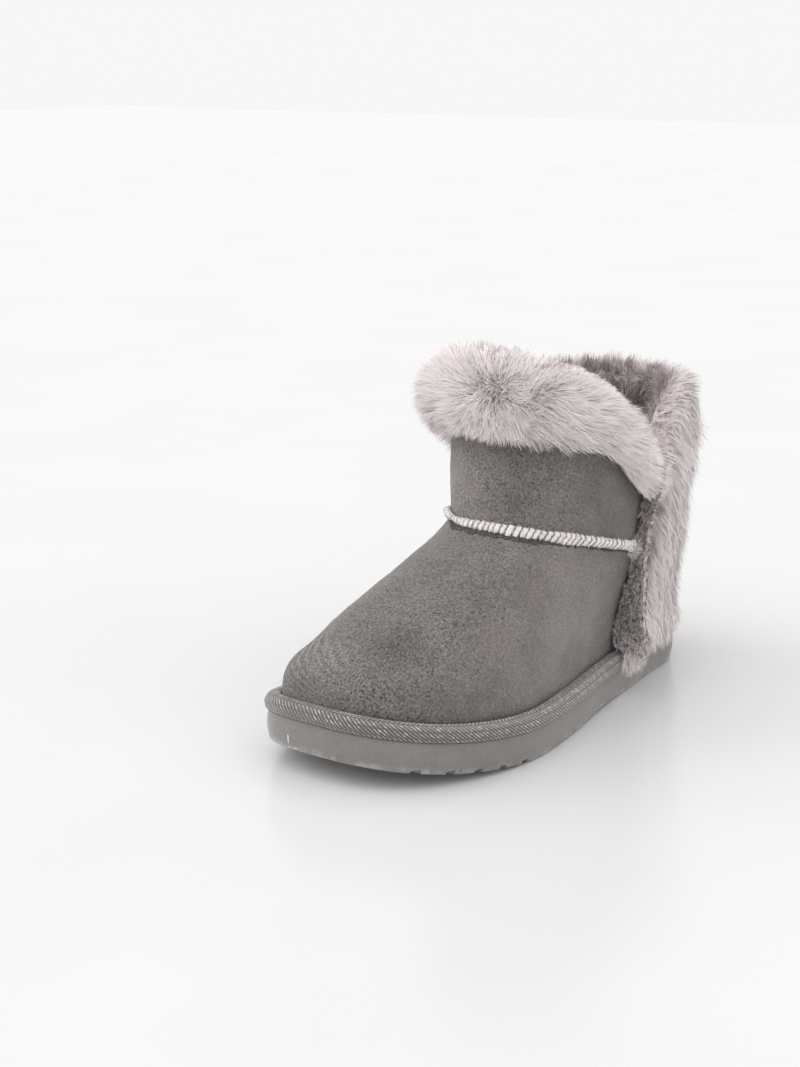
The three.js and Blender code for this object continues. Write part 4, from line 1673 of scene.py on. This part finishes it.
def grow(patch, count, rng, lie, stand, reach, length, steps, clump, locks, frizz, weight=None):
    """Combed hairs on a patch, drawn together into tufts and locks. lie gives the combing at a root, stand
    how far a hair stands up at its root and at its tip, and reach its share of the length."""
    def draw(number, spread, shortest, longest):
        root, normal, u, v = patch.roots(number, rng, weight)
        normal = unit(normal)
        combed = lie(root, normal, u, v) + drift(root, 60)
        combed = combed - (combed * normal).sum(-1, keepdims=True) * normal * 0.7
        sway = rng.normal(scale=spread, size=root.shape)
        at_root, at_tip = (np.asarray(share)[..., None] for share in stand(u, v))
        start = unit(normal * at_root + combed * (1 - at_root) + sway * 0.5)
        end = unit(normal * at_tip + combed * (1 - at_tip) + sway)
        size = length * rng.uniform(shortest, longest, number) * reach(u, v)
        return root, normal, strands(root, start, end, size, steps), u, v

    lock_root, _, lock_curve, _, _ = draw(locks, 0.3, 0.7, 1.2)
    lock_curve = curl(lock_curve, frizz * 2, rng)
    tuft_root, _, tuft_curve, _, _ = draw(count // TUFT_HAIRS, 0.2, 0.7, 1.15)
    tuft_curve = gather(tuft_root, tuft_curve, lock_root, lock_curve, clump, LOCK_REACH, rng)
    tuft_curve = curl(tuft_curve, frizz, rng)
    root, normal, curve, u, v = draw(count, 0.16, 0.75, 1.1)
    curve = gather(root, curve, tuft_root, tuft_curve, TUFT_HOLD, TUFT_REACH, rng)
    return root, normal, curl(curve, frizz * 0.5, rng), u, v


# Place of the whorl that the cuff's hair is combed away from
WHORL = np.array([6.0, -34.0, 150.0])

# Level and turn of the middle of the painted shadow on the cuff's fur, where its hairs are darker
CUFF_PAINTED_SHADOW = (1.72, -0.1)


class BOOT_OT_fur_cuff(bpy.types.Operator):
    """Deep fur folded over the collar round the front and both sides"""

    bl_idname = "boot.fur_cuff"
    bl_label = "Fur cuff"

    def execute(self, context):
        settings = context.scene.boot_fur
        rng = np.random.default_rng(settings.seed)
        colours = (settings.root, settings.tip)
        under = strand_material("cuff backing fabric", *colours, settings.root, 0.9, 0.2)
        columns = 120
        grid = np.concatenate([cuff_surface(CUFF_BACKING, columns, 44), self.backing(columns)])
        fur_base("cuff_backing", "fur_cuff", grid, under, 0.0)
        patch = Patch(cuff_surface(CUFF_BACKING))
        material = strand_material("long pale fur", *colours, (0.3, 0.235, 0.245), 0.3, 0.2)
        length = settings.cuff_length / MM
        near = np.exp(-(np.linalg.norm(patch.points - WHORL, axis=-1) / 13) ** 2)

        def stand(u, v):
            flat = 1 - 0.65 * patch.read(near[..., None], u, v)[:, 0]
            return [share * flat for share in self.stand(u, v)]

        for name, count, steps, share, clump, locks, widths in CUFF_HAIRS:
            root, normal, curve, u, v = grow(
                patch, count, rng, self.lie, stand, self.reach,
                length * share, steps, clump, locks, FRIZZ, 1 + 0.5 * near,
            )
            width = rng.uniform(*widths, count)
            # Painted shade: hair inside the rim is mixed towards the shade colour, made uneven by the waves
            # as shade between clumps
            tone = ease(u, 0.7, 0.82) * (0.85 + 0.35 * waves(root, 10, 71))
            # Painted shadow: hairs round this place are mixed towards the shade colour
            away = np.linalg.norm(root - skin_point(*CUFF_PAINTED_SHADOW), axis=-1)
            tone = np.clip(tone + 0.5 * np.exp(-(away / 22) ** 2), 0, 1)
            # Painted light: hairs round the whorl are paler from the root, to lift the shade where they part
            pale = 0.75 * np.exp(-(np.linalg.norm(root - WHORL, axis=1) / 14) ** 2)
            piece = hair_piece(name, curve, normal, width, material, rng, 0.7, tone, pale)
        return {"FINISHED"}

    def backing(self, columns):
        """Back of the cuff's backing, against the wall inside and the skin outside."""
        share = np.linspace(*CUFF_SPAN, columns)
        height = cuff_height(share)
        rows = []
        for drop, sign in ((0.4, -1), (0.0, -1), (0.0, 1), (0.5, 1), (0.95, 1)):
            turn = cuff_turn(2.0, share)
            level = level_below(turn, drop * height)
            spot = turn if sign < 0 else cuff_turn(level, share)
            rows.append(shell(level, spot, 0.2 if sign > 0 else -WALL - 0.2))
        return np.stack(rows)

    def reach(self, u, v):
        """Shorter hair at the front's lower edge, at the ends, over the rim and inside it."""
        side = np.abs(2 * v - 1)
        low = mix(mix(0.45, 0.8, ease(side, 0.06, 0.45)), 1.0, ease(u, 0.0, 0.32))
        low_side = np.maximum(ease(2 * v - 1, 0.02, 0.4), ease(1 - 2 * v, 0.3, 0.7))
        over = mix(1.0, mix(0.6, 0.3, low_side), ease(u, 0.36, 0.56))
        return low * over * mix(1.0, 0.6, ease(side, 0.62, 0.95)) * mix(1.0, 0.72, ease(u, 0.7, 0.85))

    def stand(self, u, v):
        """Hair lies flatter over the rim."""
        over = ease(u, 0.4, 0.6)
        return mix(0.72, 0.6, over), mix(0.26, 0.12, over)

    def lie(self, root, normal, u, v):
        """Combing that leaves a whorl at the front: down below it and along the cuff to both sides."""
        scatter = np.random.default_rng(len(root)).normal(scale=8.0, size=root.shape)
        away = root - WHORL + scatter
        far = np.linalg.norm(away, axis=1, keepdims=True)
        down = mix(0.55, 0.0, ease(u, 0.3, 0.5))[:, None]
        outside = unit(away) + down * DOWN
        inside = ease(u, 0.68, 0.8)[:, None]
        within = mix(np.array([0, 0, 0.9]), np.array([0, 0, -0.9]), ease(u, 0.84, 0.96)[:, None])
        return mix(outside, within + normal * 0.2, inside)


class BOOT_OT_back_fur(bpy.types.Operator):
    """Wide deep fur strip from the sole up the heel and over the collar"""

    bl_idname = "boot.back_fur"
    bl_label = "Back fur strip"

    def execute(self, context):
        settings = context.scene.boot_fur
        rng = np.random.default_rng(settings.seed + 1)
        inner, outer = strip_chains(np.linspace(0, 1, 120), STRIP_BACKING)
        base = resample(np.stack(outer), 56)
        grid = np.concatenate([base, resample(np.stack(inner), 24)[::-1], base[:1]])
        colours = (settings.root, settings.tip)
        under = strand_material("strip backing fabric", *colours, settings.root, 0.9, 0.2)
        fur_base("strip_backing", "back_fur_strip", grid, under, 0.6)
        shade = (0.33, 0.27, 0.28)
        material = strand_material("long strip fur", *colours, shade, 0.42, 0.16)
        hairy = strip_chains(np.linspace(0, 1, 220), STRIP_BACKING)[1]
        patch = Patch(resample(np.stack(hairy), 110))
        length = settings.strip_length / MM
        for name, count, steps, share, clump, locks, widths in STRIP_HAIRS:
            root, normal, curve, u, v = grow(
                patch, count, rng, self.lie, self.stand, self.reach,
                length * share, steps, clump, locks, FRIZZ,
            )
            width = rng.uniform(*widths, count)
            # Painted shade: hair inside the rim is mixed towards the shade colour. Hair along the cut edges,
            # and slightly the upper part, is mixed towards it too, and waves make it uneven
            edge = (1 - ease(np.minimum(v, 1 - v), 0.02, 0.05)) * ease(u, 0.16, 0.26)
            tone = np.maximum(ease(u, 0.78, 0.86), edge * (1 - ease(u, 0.5, 0.62)))
            tone = np.maximum(tone, 0.2 * ease(u, 0.15, 0.5))
            tone = np.clip(tone * (0.85 + 0.35 * waves(root, 10, 72)), 0, 1)
            piece = hair_piece(name, curve, normal, width, material, rng, 0.7, tone)
        curly = strand_material(
            "curly mauve pile",
            root=(0.22, 0.17, 0.175),
            tip=(0.95, 0.89, 0.88),
            shade=shade,
            root_length=0.72,
            spread=0.9,
        )
        self.edges(inner, outer, curly, rng)
        return {"FINISHED"}

    def reach(self, u, v):
        """Shorter hair inside the rim and along the cut edges."""
        edge = mix(mix(0.36, 0.8, ease(u, 0.55, 0.7)), 1.0, ease(np.minimum(v, 1 - v), 0.0, 0.06))
        over = mix(0.72, 0.95, ease(u, 0.36, 0.5)) * mix(1.0, 0.55, ease(u, 0.62, 0.72))
        over = over * mix(1.0, 1.2, ease(u, 0.86, 0.94))
        return edge * over * mix(0.55, 1.0, ease(u, 0.0, 0.15))

    def stand(self, u, v):
        """Hair stands up more over the rim."""
        over = ease(u, 0.36, 0.56)
        return mix(0.18, 0.38, over), mix(0.02, 0.12, over)

    def lie(self, root, normal, u, v):
        """Combing down the back, away from the cut edges, and outwards over the rim."""
        edge = np.exp(-np.minimum(v, 1 - v) / 0.06)[:, None]
        down = DOWN + edge * np.array([0, 1.5, 0])
        middle = np.array([0, 70.0, 0])
        out = unit((root - middle) * np.array([1, 1, 0])) + np.array([0, 0, 0.25])
        over = mix(down, out, ease(u, 0.64, 0.76)[:, None])
        within = mix(np.array([0, 0, 0.9]), np.array([0, 0, -0.9]), ease(u, 0.88, 0.98)[:, None])
        return mix(unit(over), within + normal * 0.3, ease(u, 0.8, 0.88)[:, None])

    def edges(self, inner, outer, material, rng):
        """Cut edges of the strip, where the dense pile shows from the side."""
        rows = 90
        for end, name, count in ((0, "strip_edge_outer", 9000), (-1, "strip_edge_inner", 5000)):
            a = resample(np.stack([row[end] for row in inner]), rows)
            b = resample(np.stack([row[end] for row in outer[:len(inner)]]), rows)
            across = np.linspace(0, 2.1, 18)[None, :, None]
            patch = Patch(a[:, None, :] + (b - a)[:, None, :] * across)
            if patch.normals[..., 1].mean() > 0:
                patch.normals = -patch.normals

            def lie(root, normal, u, v):
                out = unit(b - a)[np.minimum((u * (rows - 1)).astype(int), rows - 1)]
                return unit(out * 0.8 + 0.6 * DOWN)

            def stand(u, v):
                return 0.85, 0.5

            def reach(u, v):
                return 1 + 0.9 * (1 - ease(u, 0.03, 0.16))

            root, normal, curve, u, v = grow(
                patch, count, rng, lie, stand, reach, 5.5, 3, 0.85, count // 12, 1.3,
            )
            tone = (0.62 - 0.62 * ease(v, 0.75, 1.0)) * ease(u, 0.2, 0.36)
            tone = np.clip(tone + rng.normal(scale=0.2, size=count), 0, 1)
            foot = 1 - ease(u, 0.12, 0.3)
            curve[..., 2] -= 8 * foot[:, None] * np.linspace(0, 1, curve.shape[1]) ** 1.5
            width = rng.uniform(0.34, 0.5, count)
            piece = hair_piece(name, curve, normal, width, material, rng, 0.5, tone, 0.8 * foot)


class BOOT_PT_panel(bpy.types.Panel):
    """Pieces of the snow boot and their settings"""

    bl_idname = "BOOT_PT_panel"
    bl_label = "Snow boot"
    bl_space_type = "VIEW_3D"
    bl_region_type = "UI"
    bl_category = "Snow boot"

    def draw(self, context):
        for label, settings, operators in PANEL_ROWS:
            box = self.layout.box()
            box.label(text=label)
            group = getattr(context.scene, settings)
            for key in group.__annotations__:
                box.prop(group, key)
            for operator in operators:
                box.operator(operator)


PANEL_ROWS = (
    ("Stage", "boot_stage", ("boot.stage",)),
    ("Sole", "boot_sole", ("boot.rubber_sole",)),
    ("Tape", "boot_tape", ("boot.welt_tape",)),
    ("Suede", "boot_suede", ("boot.suede",)),
    ("Lining", "boot_lining", ("boot.lining",)),
    ("Seam", "boot_seam", ("boot.ankle_seam",)),
    ("Fur", "boot_fur", ("boot.fur_cuff", "boot.back_fur")),
)

SETTINGS = {
    "boot_stage": StageSettings,
    "boot_sole": SoleSettings,
    "boot_tape": TapeSettings,
    "boot_suede": SuedeSettings,
    "boot_lining": LiningSettings,
    "boot_seam": SeamSettings,
    "boot_fur": FurSettings,
}

OPERATORS = (
    BOOT_OT_stage,
    BOOT_OT_rubber_sole,
    BOOT_OT_welt_tape,
    BOOT_OT_suede,
    BOOT_OT_lining,
    BOOT_OT_ankle_seam,
    BOOT_OT_fur_cuff,
    BOOT_OT_back_fur,
)


def register():
    for item in (*SETTINGS.values(), *OPERATORS, BOOT_PT_panel):
        bpy.utils.register_class(item)
    for name, item in SETTINGS.items():
        setattr(bpy.types.Scene, name, PointerProperty(type=item))


def unregister():
    for name in SETTINGS:
        delattr(bpy.types.Scene, name)
    for item in reversed((*SETTINGS.values(), *OPERATORS, BOOT_PT_panel)):
        bpy.utils.unregister_class(item)


def main():
    register()
    for operator in OPERATORS:
        group, name = operator.bl_idname.split(".")
        getattr(getattr(bpy.ops, group), name)()


if __name__ == "__main__":
    main()
